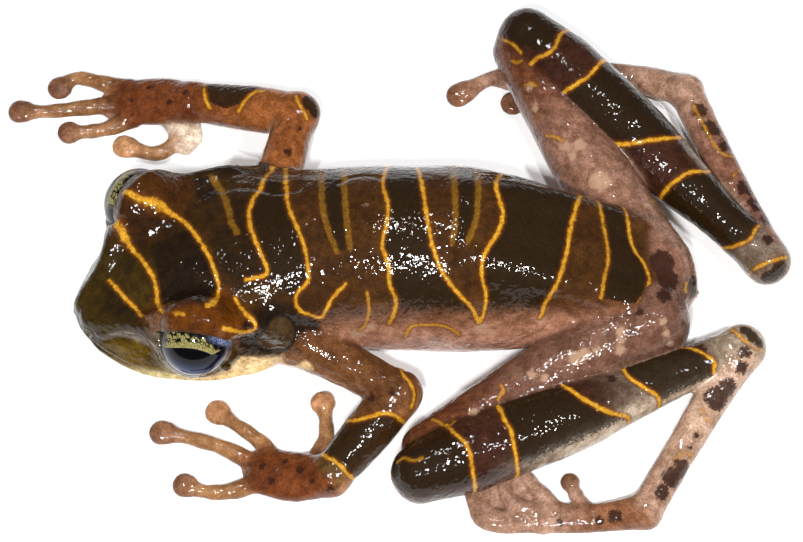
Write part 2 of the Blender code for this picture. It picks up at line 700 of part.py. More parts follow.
def centre_on_floor():
    """Hangs every piece on one empty, which puts the middle of the whole frog at the origin."""
    pieces = [obj for obj in bpy.data.objects if obj.type == "MESH"]
    points = np.concatenate([np.array([tuple(v.co) for v in obj.data.vertices]) for obj in pieces])
    middle = (points.min(axis=0) + points.max(axis=0)) / 2
    frog = bpy.data.objects.new("frog", None)
    frog.location = (-middle[0], -middle[1], -points[:, 2].min())
    bpy.context.scene.collection.objects.link(frog)
    for obj in pieces:
        obj.parent = frog


def main():
    clear_scene()
    skins = {}
    for name, colour in COLOURS.items():
        skins[name] = material(name, colour, EYE_ROUGHNESS if name == "eye" else SKIN_ROUGHNESS)
    make_head(skins)
    body_piece("torso", NECK + GAP / 2, LENGTH, TORSO_RINGS, skins["back"])
    make_eye("eye_left", 1, skins)
    make_eye("eye_right", -1, skins)
    make_arm("left", SHOULDER_L, ELBOW_L, WRIST_L, PALM_L, skins)
    make_arm("right", SHOULDER_R, ELBOW_R, WRIST_R, PALM_R, skins)
    make_fingers("left", PALM_L, FINGERS_L, skins)
    make_fingers("right", PALM_R, FINGERS_R, skins)
    make_leg("left", HIP_L, FEMUR_END_L, KNEE_L, HEEL_L, ANKLE_L, SOLE_L, TOES_L, skins)
    make_leg("right", HIP_R, FEMUR_END_R, KNEE_R, HEEL_R, ANKLE_R, SOLE_R, TOES_R, skins)
    centre_on_floor()


main()
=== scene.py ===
"""A tree frog at life size, as a still model: one skin over the whole body, and two eyes.

Sizes are in millimetres in the frog's own frame: the floor is z = 0, the snout points along -X
and a little to the frog's left, and its left side is towards -Y. Places in the photograph are
pixels, counted right and down, and are cast through the camera onto the skin.
"""

import math

import bmesh
import bpy
import numpy as np
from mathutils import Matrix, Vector


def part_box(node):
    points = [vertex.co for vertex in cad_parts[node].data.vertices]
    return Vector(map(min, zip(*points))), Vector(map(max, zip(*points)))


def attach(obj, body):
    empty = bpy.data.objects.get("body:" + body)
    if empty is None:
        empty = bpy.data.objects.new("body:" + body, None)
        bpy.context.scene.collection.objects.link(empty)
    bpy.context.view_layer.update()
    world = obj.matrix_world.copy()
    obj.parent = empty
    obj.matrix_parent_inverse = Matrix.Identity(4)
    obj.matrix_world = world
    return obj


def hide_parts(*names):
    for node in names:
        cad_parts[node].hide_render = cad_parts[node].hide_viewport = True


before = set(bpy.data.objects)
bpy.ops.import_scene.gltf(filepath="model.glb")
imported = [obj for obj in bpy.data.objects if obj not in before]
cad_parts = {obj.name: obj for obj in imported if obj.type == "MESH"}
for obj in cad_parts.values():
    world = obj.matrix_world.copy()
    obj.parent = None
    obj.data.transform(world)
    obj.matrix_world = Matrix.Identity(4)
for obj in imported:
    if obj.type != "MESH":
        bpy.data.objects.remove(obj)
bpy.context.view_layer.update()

MM = 0.001

# The photograph's frame and camera.
PHOTO_WIDTH, PHOTO_HEIGHT = 803, 542
CAMERA_ELEVATION = math.radians(66.0)
CAMERA_DISTANCE = 400.0
AIM_HEIGHT = 6.0
PIXELS_PER_MM = 10.5
SENSOR = 36.0

# The track of the spine over the floor, from the snout's tip to the vent.
SPINE = (
    (-30.6, -5.19),
    (-26.27, -3.49),
    (-21.95, -1.79),
    (-17.2, 0.05),
    (-12.0, 1.15),
    (-6.0, 1.5),
    (0.0, 1.4),
    (8.0, 1.2),
    (16.0, 0.4),
    (22.0, -0.5),
    (30.0, -1.9),
)

# Sections of head and trunk: distance from the snout, half width, top, bottom, height of the
# widest line, roundness above that line and below it. A roundness of 2 is an ellipse.
SECTIONS = (
    (0.0, 0.0, 6.0, 6.0, 6.0, 1.9, 2.2),
    (0.45, 1.5, 7.6, 4.3, 5.4, 1.9, 2.2),
    (1.0, 2.9, 8.2, 3.3, 5.0, 1.8, 2.2),
    (2.3, 4.7, 8.8, 2.3, 4.6, 1.6, 2.3),
    (4.6, 6.9, 9.6, 1.6, 4.3, 1.6, 2.4),
    (7.8, 8.6, 10.7, 1.1, 4.1, 1.9, 2.5),
    (11.5, 9.9, 11.5, 0.8, 4.0, 2.1, 2.6),
    (15.4, 10.2, 12.1, 0.5, 4.0, 2.1, 2.6),
    (19.0, 9.55, 12.7, 0.2, 4.4, 2.1, 2.7),
    (24.0, 8.7, 13.7, -0.2, 5.2, 2.1, 2.8),
    (31.0, 8.6, 14.9, -0.4, 5.8, 2.1, 2.9),
    (37.0, 8.8, 14.9, -0.4, 5.8, 2.1, 2.9),
    (42.0, 8.2, 14.0, -0.4, 5.6, 2.1, 2.9),
    (48.0, 6.9, 12.2, -0.2, 5.2, 2.0, 2.8),
    (53.5, 5.6, 9.9, 0.5, 4.8, 2.0, 2.5),
    (57.3, 4.0, 7.6, 1.8, 4.6, 2.0, 2.2),
    (59.5, 1.7, 5.8, 3.0, 4.5, 2.0, 2.0),
    (60.2, 0.0, 4.5, 4.5, 4.5, 2.0, 2.0),
)
LENGTH = SECTIONS[-1][0]
ROLL = math.radians(6.0)
ROLL_HEIGHT = 6.0
ROLL_FROM, ROLL_TO = 14.0, 32.0

# The eyes and their lids.
EYE_BACK, EYE_SIDE, EYE_HEIGHT = 9.3, 7.8, 9.2
EYE_RADIUS = 3.45
EYE_FORWARD = math.radians(25.0)
EYE_TILT = math.radians(14.0)
GAZE_LIFT = math.radians(38.0)
CORNEA_BULGE = 0.025
LID_TOP = math.radians(68.0)
LID_BOTTOM = math.radians(-38.0)
ORBIT = 4.3
LID_EDGE = 0.14
LID_THINNING = 1.7
LID_ROUND = 0.22
SOCKET_CORE = 0.3

CANTHUS = (((0.9, 0.9, 7.3), 0.7), ((3.4, 2.6, 8.2), 0.8), ((6.4, 5.4, 9.5), 1.2))
EAR_FOLD = (
    ((12.6, 7.7, 9.8), 1.2),
    ((16.2, 8.1, 9.5), 1.0),
    ((19.4, 8.6, 7.4), 1.0),
    ((21.5, 8.6, 4.9), 0.9),
)
HIP_BAR = (((38.0, 3.0, 12.6), 1.8), ((46.0, 3.6, 10.9), 1.8), ((53.0, 3.6, 8.0), 1.8))
RIDGES = (CANTHUS, EAR_FOLD, HIP_BAR)
ROUNDING = 1.4
NOSTRIL = (0.5, 1.5, 6.1)
EAR_BACK = 18.4
EAR_RISE = math.radians(25.0)
EAR_RADIUS = 2.0
MOUTH_START, MOUTH_END = 0.3, 17.6

# Limbs: each joint's place, then along each length its radius across and its radius up.
SHOULDER_L, SHOULDER_R = (-9.3, -7.0, 5.4), (-12.8, 6.8, 5.8)
ELBOW_L, ELBOW_R = (-0.2, -12.1, 4.8), (-10.1, 17.1, 5.0)
WRIST_L, WRIST_R = (-6.7, -19.5, 2.2), (-20.5, 19.8, 2.3)
HIP_L, HIP_R = (23.6, -4.6, 4.6), (24.0, 0.85, 4.6)
KNEE_L, KNEE_R = (1.8, -20.5, 5.6), (12.3, 25.2, 5.7)
FEMUR_END_L, FEMUR_END_R = (2.3, -17.4, 4.2), (11.3, 24.2, 4.4)
HEEL_L, HEEL_R = (32.4, -6.8, 3.2), (35.1, 2.3, 3.2)
ANKLE_L, ANKLE_R = (22.8, -22.9, 1.8), (27.9, 21.2, 1.8)
UPPER_ARM = ((0.0, 2.6, 2.7), (0.5, 2.1, 2.2), (1.0, 1.9, 2.0))
FOREARM = ((0.0, 2.1, 2.1), (0.35, 2.3, 2.2), (0.7, 2.15, 1.9), (1.0, 1.9, 1.65))
THIGH = ((0.0, 3.9, 4.3), (0.3, 3.7, 4.0), (0.55, 3.3, 3.5), (0.8, 2.8, 3.1), (1.0, 2.3, 2.7))
SHANK = (
    (0.0, 2.8, 3.0),
    (0.18, 3.65, 3.6),
    (0.42, 3.6, 3.6),
    (0.65, 2.8, 2.8),
    (0.85, 2.1, 2.2),
    (1.0, 2.1, 2.1),
)
TARSUS = ((0.0, 2.1, 2.1), (0.3, 1.75, 1.7), (0.7, 1.6, 1.5), (1.0, 1.65, 1.45))
PALM = ((0.0, 1.9, 1.65), (0.5, 2.5, 1.4), (1.0, 2.3, 1.0))
PALM_L = (WRIST_L, (-10.0, -19.2, 1.3), (-13.4, -18.3, 0.9))
PALM_R = (WRIST_R, (-23.9, 20.3, 1.3), (-27.0, 20.4, 0.9))
THUMB_PAD = ((-21.8, 18.3, 0.9), (-21.0, 16.8, 0.75), (-21.4, 15.4, 0.6))
THUMB_PAD_RADII = ((0.0, 1.5, 0.9), (0.5, 1.5, 0.62), (1.0, 0.9, 0.45))
FINGERS_L = (
    ((-8.6, -17.9), (-7.3, -15.4), (-7.2, -13.4), (-7.47, -11.43)),
    ((-11.6, -18.0), (-13.2, -15.6), (-15.6, -13.7), (-17.46, -12.35)),
    ((-13.0, -18.1), (-16.6, -16.1), (-20.0, -15.0), (-22.74, -14.4)),
    ((-12.9, -19.0), (-15.5, -20.2), (-18.0, -20.5), (-20.44, -19.79)),
)
FINGERS_R = (
    ((-23.6, 19.6), (-21.8, 17.2), (-23.7, 15.0), (-27.15, 15.72)),
    ((-26.4, 18.8), (-28.5, 17.8), (-30.4, 17.4), (-32.58, 17.25)),
    ((-27.6, 20.4), (-30.8, 20.0), (-34.4, 19.55), (-37.47, 19.54)),
    ((-26.9, 22.0), (-29.4, 22.6), (-31.9, 23.2), (-33.63, 22.17)),
)
SOLE = ((0.0, 1.65, 1.45), (0.5, 1.45, 1.05), (1.0, 1.5, 0.8))
SOLE_L = (ANKLE_L, (18.0, -23.2, 1.0), (13.6, -23.1, 0.75))
SOLE_R = (ANKLE_R, (24.2, 22.7, 1.0), (19.6, 23.4, 0.75))
TOES_L = (
    ((17.6, -22.6), (16.9, -21.6), (16.4, -20.6), (15.91, -19.5)),
    ((14.6, -22.5), (13.4, -21.0), (12.0, -19.2), (10.9, -17.2)),
    ((13.4, -22.8), (10.4, -21.6), (9.7, -19.4), (9.9, -17.0)),
    ((13.2, -23.2), (8.4, -22.9), (7.7, -20.4), (8.5, -17.2)),
    ((13.2, -23.6), (8.4, -23.7), (6.9, -21.9), (6.7, -19.4)),
)
TOES_R = (
    ((22.6, 21.9), (20.9, 21.0), (19.9, 20.4), (19.0, 19.8)),
    ((20.6, 22.3), (17.8, 21.3), (15.9, 20.7), (14.4, 20.0)),
    ((19.7, 22.4), (16.1, 22.0), (13.2, 21.3), (10.95, 20.4)),
    ((19.4, 22.9), (14.6, 23.6), (9.7, 23.5), (5.6, 21.3)),
    ((19.5, 23.5), (16.2, 24.7), (13.6, 25.7), (11.5, 26.6)),
)
DISC_RADIUS, SLIM_DISC_RADIUS = 1.22, 0.9
DIGIT_HEIGHT = 0.62
DIGIT = (
    (0.0, 1.05, 0.77),
    (0.2, 0.9, 0.72),
    (0.36, 0.86, 0.72),
    (0.5, 0.72, 0.66),
    (0.64, 0.76, 0.66),
    (0.76, 0.64, 0.6),
    (0.86, 0.78, 0.62),
    (0.93, 1.1, 0.66),
    (1.0, 1.22, 0.6),
)
DIGIT_SAMPLES = 16
WEB_THICKNESS = 0.5
WEB_HEIGHT = 0.42
WEB_SAMPLES = 20
WEB_ROUNDING = 0.15
TOE_WEB_REACH = 0.8
FINGER_WEB_REACH = 0.3

# Fineness of the skin's first rough net and of the last one, and how often and how far the
# points of each move onto the frog's form.
ROUGH_VOXEL = 0.3
FINE_VOXEL = 0.14
ROUGH_MOVES, FINE_MOVES = (4, 0.5), (3, 0.25)
PROBE = 0.05
GENTLEST, STEEPEST = 0.4, 2.0
# How many points the rough forms have: round the body, along it, round a limb, and up an eye.
BODY_SIDES, BODY_LOOPS, LIMB_SIDES, EYE_LOOPS = 28, 50, 12, 7


# Curves and distances.

SPAN_STEPS = 24
LATTICE = 32
NOTHING_NEAR = 9.0
MARK_MARGIN = 2.5


def smooth_track(points, samples):
    """Points evenly spaced along the smooth curve through the given ones."""
    points = np.asarray(points, float)
    ends = np.vstack((2 * points[0] - points[1], points, 2 * points[-1] - points[-2]))
    dense = []
    for i in range(len(points) - 1):
        a, b, c, d = ends[i : i + 4]
        for t in np.linspace(0, 1, SPAN_STEPS, endpoint=False):
            dense.append(
                b
                + 0.5 * t * (c - a)
                + t * t * (a - 2.5 * b + 2 * c - 0.5 * d)
                + t**3 * (-0.5 * a + 1.5 * b - 1.5 * c + 0.5 * d)
            )
    dense.append(points[-1])
    dense = np.array(dense)
    along = np.concatenate(([0], np.cumsum(np.linalg.norm(np.diff(dense, axis=0), axis=1))))
    if np.isscalar(samples):
        samples = np.linspace(0, along[-1], samples)
    return np.stack([np.interp(samples, along, column) for column in dense.T], axis=1)


def smooth_line(points):
    """The smooth curve through a marking's points."""
    return smooth_track(points, 5 * len(points))


def eased(x, xs, ys):
    """A smooth curve through the values ys at xs, which never runs past them."""
    xs, ys = np.asarray(xs, float), np.asarray(ys, float)
    steps = np.diff(ys) / np.diff(xs)
    slopes = np.zeros(len(xs))
    turning = steps[:-1] * steps[1:] > 0
    slopes[1:-1][turning] = 2 / (1 / steps[:-1][turning] + 1 / steps[1:][turning])
    slopes[0], slopes[-1] = steps[0], steps[-1]
    i = np.clip(np.searchsorted(xs, x) - 1, 0, len(xs) - 2)
    width = xs[i + 1] - xs[i]
    t = np.clip((x - xs[i]) / width, 0, 1)
    start = ys[i] * (1 + 2 * t) * (1 - t) ** 2 + slopes[i] * width * t * (1 - t) ** 2
    end = ys[i + 1] * t * t * (3 - 2 * t) + slopes[i + 1] * width * t * t * (t - 1)
    return start + end


def rise(x, low, high):
    """Nought below low, one above high, and a smooth step between them."""
    t = np.clip((x - low) / (high - low), 0, 1)
    return t * t * (3 - 2 * t)


def hump(x, width):
    """One at nought, and less away from it, over the width."""
    return np.exp(-((x / width) ** 2))


def blend(a, b, rounding):
    """The lesser of two distances, with the corner between them rounded."""
    h = np.clip(0.5 + 0.5 * (b - a) / rounding, 0, 1)
    return b + (a - b) * h - rounding * h * (1 - h)


def lattice_noise(points, size, seed):
    """Smooth random values from -1 to 1 that vary over the given size."""
    table = np.random.default_rng(seed).uniform(-1, 1, (LATTICE, LATTICE, LATTICE))
    p = points / size
    cell = np.floor(p).astype(int)
    t = p - cell
    t = t * t * (3 - 2 * t)
    value = 0.0
    for corner in range(8):
        step = np.array((corner & 1, corner >> 1 & 1, corner >> 2))
        at = (cell + step) % LATTICE
        weight = np.prod(np.where(step, t, 1 - t), axis=1)
        value = value + weight * table[at[:, 0], at[:, 1], at[:, 2]]
    return value


def path_distance(points, path):
    """Distance from points to a line through the path's points, where it is near them."""
    path = np.asarray(path)
    nearest = np.full(len(points), NOTHING_NEAR)
    low, high = path.min(0) - MARK_MARGIN, path.max(0) + MARK_MARGIN
    near = np.nonzero(np.all((points > low) & (points < high), axis=1))[0]
    spot = points[near]
    best = nearest[near]
    for a, b in zip(path, path[1:]):
        d = b - a
        t = np.clip(((spot - a) @ d) / max(d @ d, 1e-12), 0, 1)
        best = np.minimum(best, np.linalg.norm(spot - a - t[:, None] * d, axis=1))
    nearest[near] = best
    return nearest


def patch_distance(points, outline):
    """Signed distance from flat points to the outline's edge, less than zero within it."""
    closed = np.vstack((outline, outline[:1]))
    within = np.zeros(len(points), bool)
    for a, b in zip(closed, closed[1:]):
        crosses = (a[1] > points[:, 1]) != (b[1] > points[:, 1])
        run = (b[0] - a[0]) / ((b[1] - a[1]) or 1e-12)
        within ^= crosses & (points[:, 0] < a[0] + (points[:, 1] - a[1]) * run)
    edge = path_distance(points, closed)
    return np.where(within, -edge, edge)


# Head and trunk.

MARKS = np.linspace(0, LENGTH, 400)
TRACK = smooth_track(SPINE, MARKS)
HEADING = np.gradient(TRACK, axis=0)
HEADING /= np.linalg.norm(HEADING, axis=1)[:, None]


def stretch(back):
    """Distance behind the snout as an angle, which makes both ends of the body round."""
    return np.arccos(np.clip(1 - 2 * np.asarray(back, float) / LENGTH, -1, 1))


TURNS = np.linspace(0, math.pi, 3000)
SECTION_TABLE = np.array(SECTIONS)
SECTION_CURVES = [
    eased(TURNS, stretch(SECTION_TABLE[:, 0]), SECTION_TABLE[:, k]) for k in range(1, 7)
]


def section(back):
    """Half width, top, bottom, widest height and both roundnesses at a place along the body."""
    turn = stretch(back)
    return [np.interp(turn, TURNS, curve) for curve in SECTION_CURVES]


def body_roll(back):
    """How far the body leans to its side at a place along it."""
    return ROLL * (1 - rise(back, ROLL_FROM, ROLL_TO))


def to_world(back, side, height):
    """A place in body measures (behind the snout, to the frog's left, up) as x, y and z."""
    back = np.asarray(back, float)
    roll = body_roll(back)
    lift = height - ROLL_HEIGHT
    side, height = (
        side * np.cos(roll) - lift * np.sin(roll),
        ROLL_HEIGHT + side * np.sin(roll) + lift * np.cos(roll),
    )
    x, y = (np.interp(back, MARKS, TRACK[:, k]) for k in (0, 1))
    dx, dy = (np.interp(back, MARKS, HEADING[:, k]) for k in (0, 1))
    return np.stack((x + dy * side, y - dx * side, height + 0 * x), axis=-1)


def to_body(points):
    """Body measures of each point: behind the snout, to the frog's left, and up."""
    back = np.interp(points[:, 0], TRACK[:, 0], MARKS)
    for _ in range(5):
        held = np.clip(back, 0, LENGTH)
        spot = np.stack([np.interp(held, MARKS, TRACK[:, k]) for k in (0, 1)], axis=1)
        way = np.stack([np.interp(held, MARKS, HEADING[:, k]) for k in (0, 1)], axis=1)
        spot = spot + way * (back - held)[:, None]
        back = back + np.sum((points[:, :2] - spot) * way, axis=1)
    off = points[:, :2] - spot
    side = off[:, 0] * way[:, 1] - off[:, 1] * way[:, 0]
    lift = points[:, 2] - ROLL_HEIGHT
    roll = body_roll(back)
    return (
        back,
        side * np.cos(roll) + lift * np.sin(roll),
        ROLL_HEIGHT - side * np.sin(roll) + lift * np.cos(roll),
    )


def ridge_field(p, ridge):
    """Distance to a rounded ridge, on both sides of the body, less than zero inside it."""
    p = np.stack((p[0], np.abs(p[1]), p[2]), axis=-1)
    nearest = np.full(p.shape[:-1], np.inf)
    for (a, ra), (b, rb) in zip(ridge, ridge[1:]):
        a, b = np.array(a), np.array(b)
        t = np.clip(((p - a) @ (b - a)) / ((b - a) @ (b - a)), 0, 1)
        gap = np.linalg.norm(p - a - t[..., None] * (b - a), axis=-1) - (ra + t * (rb - ra))
        nearest = np.minimum(nearest, gap)
    return nearest


def trunk_field(back, side, height):
    """Less than zero inside head and trunk, without the eyes' orbits."""
    half, top, bottom, middle, above, below = section(back)
    half = np.maximum(half, 1e-3)
    over = height > middle
    reach = np.maximum(np.where(over, top - middle, middle - bottom), 1e-3)
    power = np.where(over, above, below)
    ratio = (np.abs(side) / half) ** power + (np.abs(height - middle) / reach) ** power
    field = (ratio ** (1 / power) - 1) * np.minimum(half, reach)
    beyond = np.maximum(-back, back - LENGTH)
    field = np.where(beyond > 0, np.hypot(beyond, np.hypot(side, height - middle)), field)
    for ridge in RIDGES:
        field = blend(field, ridge_field((back, side, height), ridge), ROUNDING)
    return field


class Eye:
    """One eye's centre and directions: front corner to back corner, out, and up."""

    def __init__(self, side):
        self.centre = to_world(EYE_BACK, side * EYE_SIDE, EYE_HEIGHT)
        ahead = to_world(EYE_BACK - 1, 0, 0) - to_world(EYE_BACK, 0, 0)
        left = to_world(EYE_BACK, 1, 0) - to_world(EYE_BACK, 0, 0)
        out = left * side * math.cos(EYE_FORWARD) + ahead * math.sin(EYE_FORWARD)
        corners = -ahead * math.cos(EYE_FORWARD) + left * side * math.sin(EYE_FORWARD)
        corners = corners * math.cos(EYE_TILT) - np.array((0, 0, 1)) * math.sin(EYE_TILT)
        up = np.cross(out, corners)
        self.corners, self.out, self.up = corners, out, up if up[2] > 0 else -up

    def measures(self, points):
        """Distance from the eye's centre, and distances past the upper and the lower lid's edge."""
        offset = points - self.centre
        out, up = offset @ self.out, offset @ self.up
        upper = up * math.cos(LID_TOP) - out * math.sin(LID_TOP)
        lower = out * math.sin(LID_BOTTOM) - up * math.cos(LID_BOTTOM)
        return np.linalg.norm(offset, axis=1), upper, lower


EYES = {"eye_left": Eye(1), "eye_right": Eye(-1)}


def ear_distance(points, way):
    """Distance from the middle of the ear drum on one side of the head."""
    half, top, bottom, middle = section(EAR_BACK)[:4]
    across = half * math.cos(EAR_RISE)
    centre = to_world(EAR_BACK, way * across, middle + (top - middle) * math.sin(EAR_RISE))
    return np.linalg.norm(points - centre, axis=1)


def body_field(points):
    """Less than zero inside head and trunk, with lids that grow thin towards their edges."""
    field = trunk_field(*to_body(points))
    for eye in EYES.values():
        far, upper, lower = eye.measures(points)
        opening = np.maximum(upper, lower)
        lid = EYE_RADIUS + LID_EDGE
        lid = lid + (ORBIT - lid) * rise(opening, 0.0, LID_THINNING)
        field = blend(field, far - lid, ROUNDING * rise(opening, -0.3, 1.0) + 0.05)
    return field


def open_lids(points, field):
    """Opens the lids down to a core that stays hidden inside the eyeball."""
    for eye in EYES.values():
        near = np.linalg.norm(points - eye.centre, axis=1) < ORBIT + 1.0
        far, upper, lower = eye.measures(points[near])
        window = np.maximum(np.maximum(upper, lower), far - ORBIT - 0.6)
        opened = -blend(-field[near], window, LID_ROUND)
        field[near] = np.minimum(opened, far - EYE_RADIUS + SOCKET_CORE)
    return field


# Limbs and digits.


class Tube:
    """A limb along a track of points, with radii (along, across, up) and round ends."""

    def __init__(self, track, radii, samples, tip=None):
        self.centres = smooth_track(track, samples)
        along = np.linspace(0, 1, samples)
        marks, across, up = np.array(radii).T
        self.wide, self.tall = eased(along, marks, across), eased(along, marks, up)
        heading = np.gradient(self.centres, axis=0)
        self.heading = heading / np.linalg.norm(heading, axis=1)[:, None]
        out = np.stack((self.heading[:, 1], -self.heading[:, 0], np.zeros(samples)), axis=1)
        self.out = out / np.linalg.norm(out, axis=1)[:, None]
        lift = np.cross(self.out, self.heading)
        self.lift = lift * np.where(lift[:, 2:] > 0, 1, -1)
        self.ends = (min(self.wide[0], self.tall[0]), tip or min(self.wide[-1], self.tall[-1]))
        self.length = np.linalg.norm(np.diff(self.centres, axis=0), axis=1).sum()
        widest = max(self.wide.max(), self.tall.max()) + (tip or 0)
        self.low, self.high = self.centres.min(0) - widest, self.centres.max(0) + widest

    def measures(self, points):
        """Place along the track, and the offset from it across, up and beyond its ends."""
        best = np.full(len(points), np.inf)
        where = np.zeros(len(points))
        for i, (a, b) in enumerate(zip(self.centres, self.centres[1:])):
            d = b - a
            t = np.clip(((points - a) @ d) / (d @ d), 0, 1)
            off = points - a - t[:, None] * d
            gap = np.einsum("ij,ij->i", off, off)
            closer = gap < best
            best[closer] = gap[closer]
            where[closer] = i + t[closer]
        first = np.minimum(where.astype(int), len(self.centres) - 2)
        t = (where - first)[:, None]

        def at(rows):
            return rows[first] * (1 - t) + rows[first + 1] * t

        offset = points - at(self.centres)
        across = np.sum(offset * at(self.out), axis=1)
        up = np.sum(offset * at(self.lift), axis=1)
        beyond = np.sum(offset * at(self.heading), axis=1)
        return where, across, up, beyond

    def field(self, points):
        """Less than zero inside the limb."""
        where, across, up, beyond = self.measures(points)
        steps = np.arange(len(self.wide))
        wide, tall = np.interp(where, steps, self.wide), np.interp(where, steps, self.tall)
        end = np.where(where < 1, self.ends[0], self.ends[1])
        within = (where > 0) & (where < len(self.wide) - 1)
        beyond = np.where(within, 0.0, beyond)
        near = np.sqrt((across / wide) ** 2 + (up / tall) ** 2 + (beyond / end) ** 2)
        steep = np.sqrt((across / wide**2) ** 2 + (up / tall**2) ** 2 + (beyond / end**2) ** 2)
        return near * (near - 1) / np.maximum(steep, 1e-6)

    def unrolled(self, points):
        """Flat places on the limb's skin: along it, and round it from the top, in mm."""
        where, across, up, beyond = self.measures(points)
        along = where / (len(self.centres) - 1) * self.length + beyond
        return np.stack((along, np.arctan2(across, up) * self.wide.mean()), axis=1)

    def rings(self, sides):
        """Loops of points on the limb's skin, and a point at each end."""
        turns = np.linspace(0, 2 * math.pi, sides, endpoint=False)
        loops = []
        for i, centre in enumerate(self.centres):
            loop = centre + np.outer(self.wide[i] * np.cos(turns), self.out[i])
            loops.append(loop + np.outer(self.tall[i] * np.sin(turns), self.lift[i]))
        first = self.centres[0] - self.heading[0] * self.ends[0]
        last = self.centres[-1] + self.heading[-1] * self.ends[1]
        return loops, first, last


class Web:
    """The thin skin between two digits, from their roots out to part of their length."""

    def __init__(self, one, two, reach):
        kept = int(WEB_SAMPLES * reach)
        first = smooth_track(one, WEB_SAMPLES)[:kept]
        second = smooth_track(two, WEB_SAMPLES)[:kept]
        self.outline = np.vstack((first, second[::-1]))
        low, high = WEB_HEIGHT - WEB_THICKNESS / 2, WEB_HEIGHT + WEB_THICKNESS / 2
        self.low = np.append(self.outline.min(0), low)
        self.high = np.append(self.outline.max(0), high)

    def field(self, points):
        flat = patch_distance(points[:, :2], self.outline)
        sheet = np.abs(points[:, 2] - WEB_HEIGHT) - WEB_THICKNESS / 2
        return -blend(-flat, -sheet, WEB_ROUNDING)


def digit(track, widest=DISC_RADIUS):
    """A finger or a toe, with a round disc at its tip."""
    points = [(x, y, DIGIT_HEIGHT) for x, y in track]
    radii = [(mark, min(across, widest), up) for mark, across, up in DIGIT]
    return Tube(points, radii, DIGIT_SAMPLES, tip=widest)


# Each limb's track on the left and on the right, its radii, how many places along it are worked
# out, and how softly it runs into what it grows from: by its joint, elsewhere, and how far.
LIMBS = {
    "upper_arm": ((SHOULDER_L, ELBOW_L), (SHOULDER_R, ELBOW_R), UPPER_ARM, 8, (1.3, 0.7, 4.0)),
    "forearm": ((ELBOW_L, WRIST_L), (ELBOW_R, WRIST_R), FOREARM, 8, (1.3, 0.4, 3.0)),
    "palm": (PALM_L, PALM_R, PALM, 8, (1.2, 0.5, 3.0)),
    "pad": (None, THUMB_PAD, THUMB_PAD_RADII, 6, (0.6, 0.3, 2.0)),
    "thigh": ((HIP_L, FEMUR_END_L), (HIP_R, FEMUR_END_R), THIGH, 12, (1.8, 0.8, 6.0)),
    "shank": ((KNEE_L, HEEL_L), (KNEE_R, HEEL_R), SHANK, 14, (1.3, 0.3, 3.5)),
    "tarsus": ((HEEL_L, ANKLE_L), (HEEL_R, ANKLE_R), TARSUS, 8, (1.3, 0.25, 3.0)),
    "sole": (SOLE_L, SOLE_R, SOLE, 8, (1.1, 0.3, 2.5)),
}
TUBES, SOFTNESS = {}, {}
for limb, (track_left, track_right, radii, samples, softness) in LIMBS.items():
    for word, track in (("left", track_left), ("right", track_right)):
        if track:
            TUBES[f"{limb}_{word}"] = Tube(track, radii, samples)
            SOFTNESS[f"{limb}_{word}"] = (track[0], *softness)
# The right upper arm leaves the body more sharply than the left one.
SOFTNESS["upper_arm_right"] = (SHOULDER_R, 1.0, 0.5, 4.0)

DIGITS = {}
WEBS = []
for word, fingers, toes in (("left", FINGERS_L, TOES_L), ("right", FINGERS_R, TOES_R)):
    DIGITS.update({f"finger_{i + 1}_{word}": digit(track) for i, track in enumerate(fingers)})
    DIGITS.update({f"toe_{i + 1}_{word}": digit(track) for i, track in enumerate(toes)})
    WEBS += [Web(a, b, FINGER_WEB_REACH) for a, b in zip(fingers[1:], fingers[2:])]
    WEBS += [Web(a, b, TOE_WEB_REACH) for a, b in zip(toes[1:], toes[2:])]
# The first toe of the left foot ends in a slimmer disc.
DIGITS["toe_1_left"] = digit(TOES_L[0], SLIM_DISC_RADIUS)
OWNERS = ["body", *TUBES, *DIGITS, "web"]
DIGIT_SOFTNESS = 0.5
WEB_SOFTNESS = 0.25
FLOOR_SOFTNESS = 0.25
MARGIN = 2.0


def owned_by(owners, names):
    """The numbers of the points that lie on the named forms."""
    return np.nonzero(np.isin(owners, [OWNERS.index(name) for name in names]))[0]


def skin_field(points, owners=None):
    """Less than zero inside the frog. It also marks which form each point lies nearest to."""
    field = body_field(points)
    shapes = [(TUBES[name], SOFTNESS[name]) for name in TUBES]
    shapes += [(shape, DIGIT_SOFTNESS) for shape in DIGITS.values()]
    shapes += [(shape, WEB_SOFTNESS) for shape in WEBS]
    for number, (shape, softness) in enumerate(shapes, start=1):
        near = np.all((points > shape.low - MARGIN) & (points < shape.high + MARGIN), axis=1)
        near = np.nonzero(near)[0]
        if len(near) == 0:
            continue
        spot = points[near]
        other = shape.field(spot)
        if owners is not None:
            closer = other < field[near]
            owners[near[closer]] = min(number, len(OWNERS) - 1)
        if isinstance(softness, tuple):
            joint, by_joint, elsewhere, spread = softness
            far = np.linalg.norm(spot - joint, axis=1)
            softness = elsewhere + (by_joint - elsewhere) * hump(far, spread)
        field[near] = blend(field[near], other, softness)
    field = open_lids(points, field)
    return -blend(-field, points[:, 2], FLOOR_SOFTNESS)


# The skin's mesh.


def loops_to_faces(loops, first, last, start):
    """Points and faces of a closed form: its loops, and a point at each end."""
    count = len(loops[0])
    points = [p for loop in loops for p in loop] + [first, last]
    faces = []
    for i in range(len(loops) - 1):
        for j in range(count):
            k = (j + 1) % count
            faces.append((i * count + j, i * count + k, (i + 1) * count + k, (i + 1) * count + j))
    end = (len(loops) - 1) * count
    faces += [((j + 1) % count, j, len(points) - 2) for j in range(count)]
    faces += [(end + j, end + (j + 1) % count, len(points) - 1) for j in range(count)]
    return points, [tuple(start + v for v in face) for face in faces]


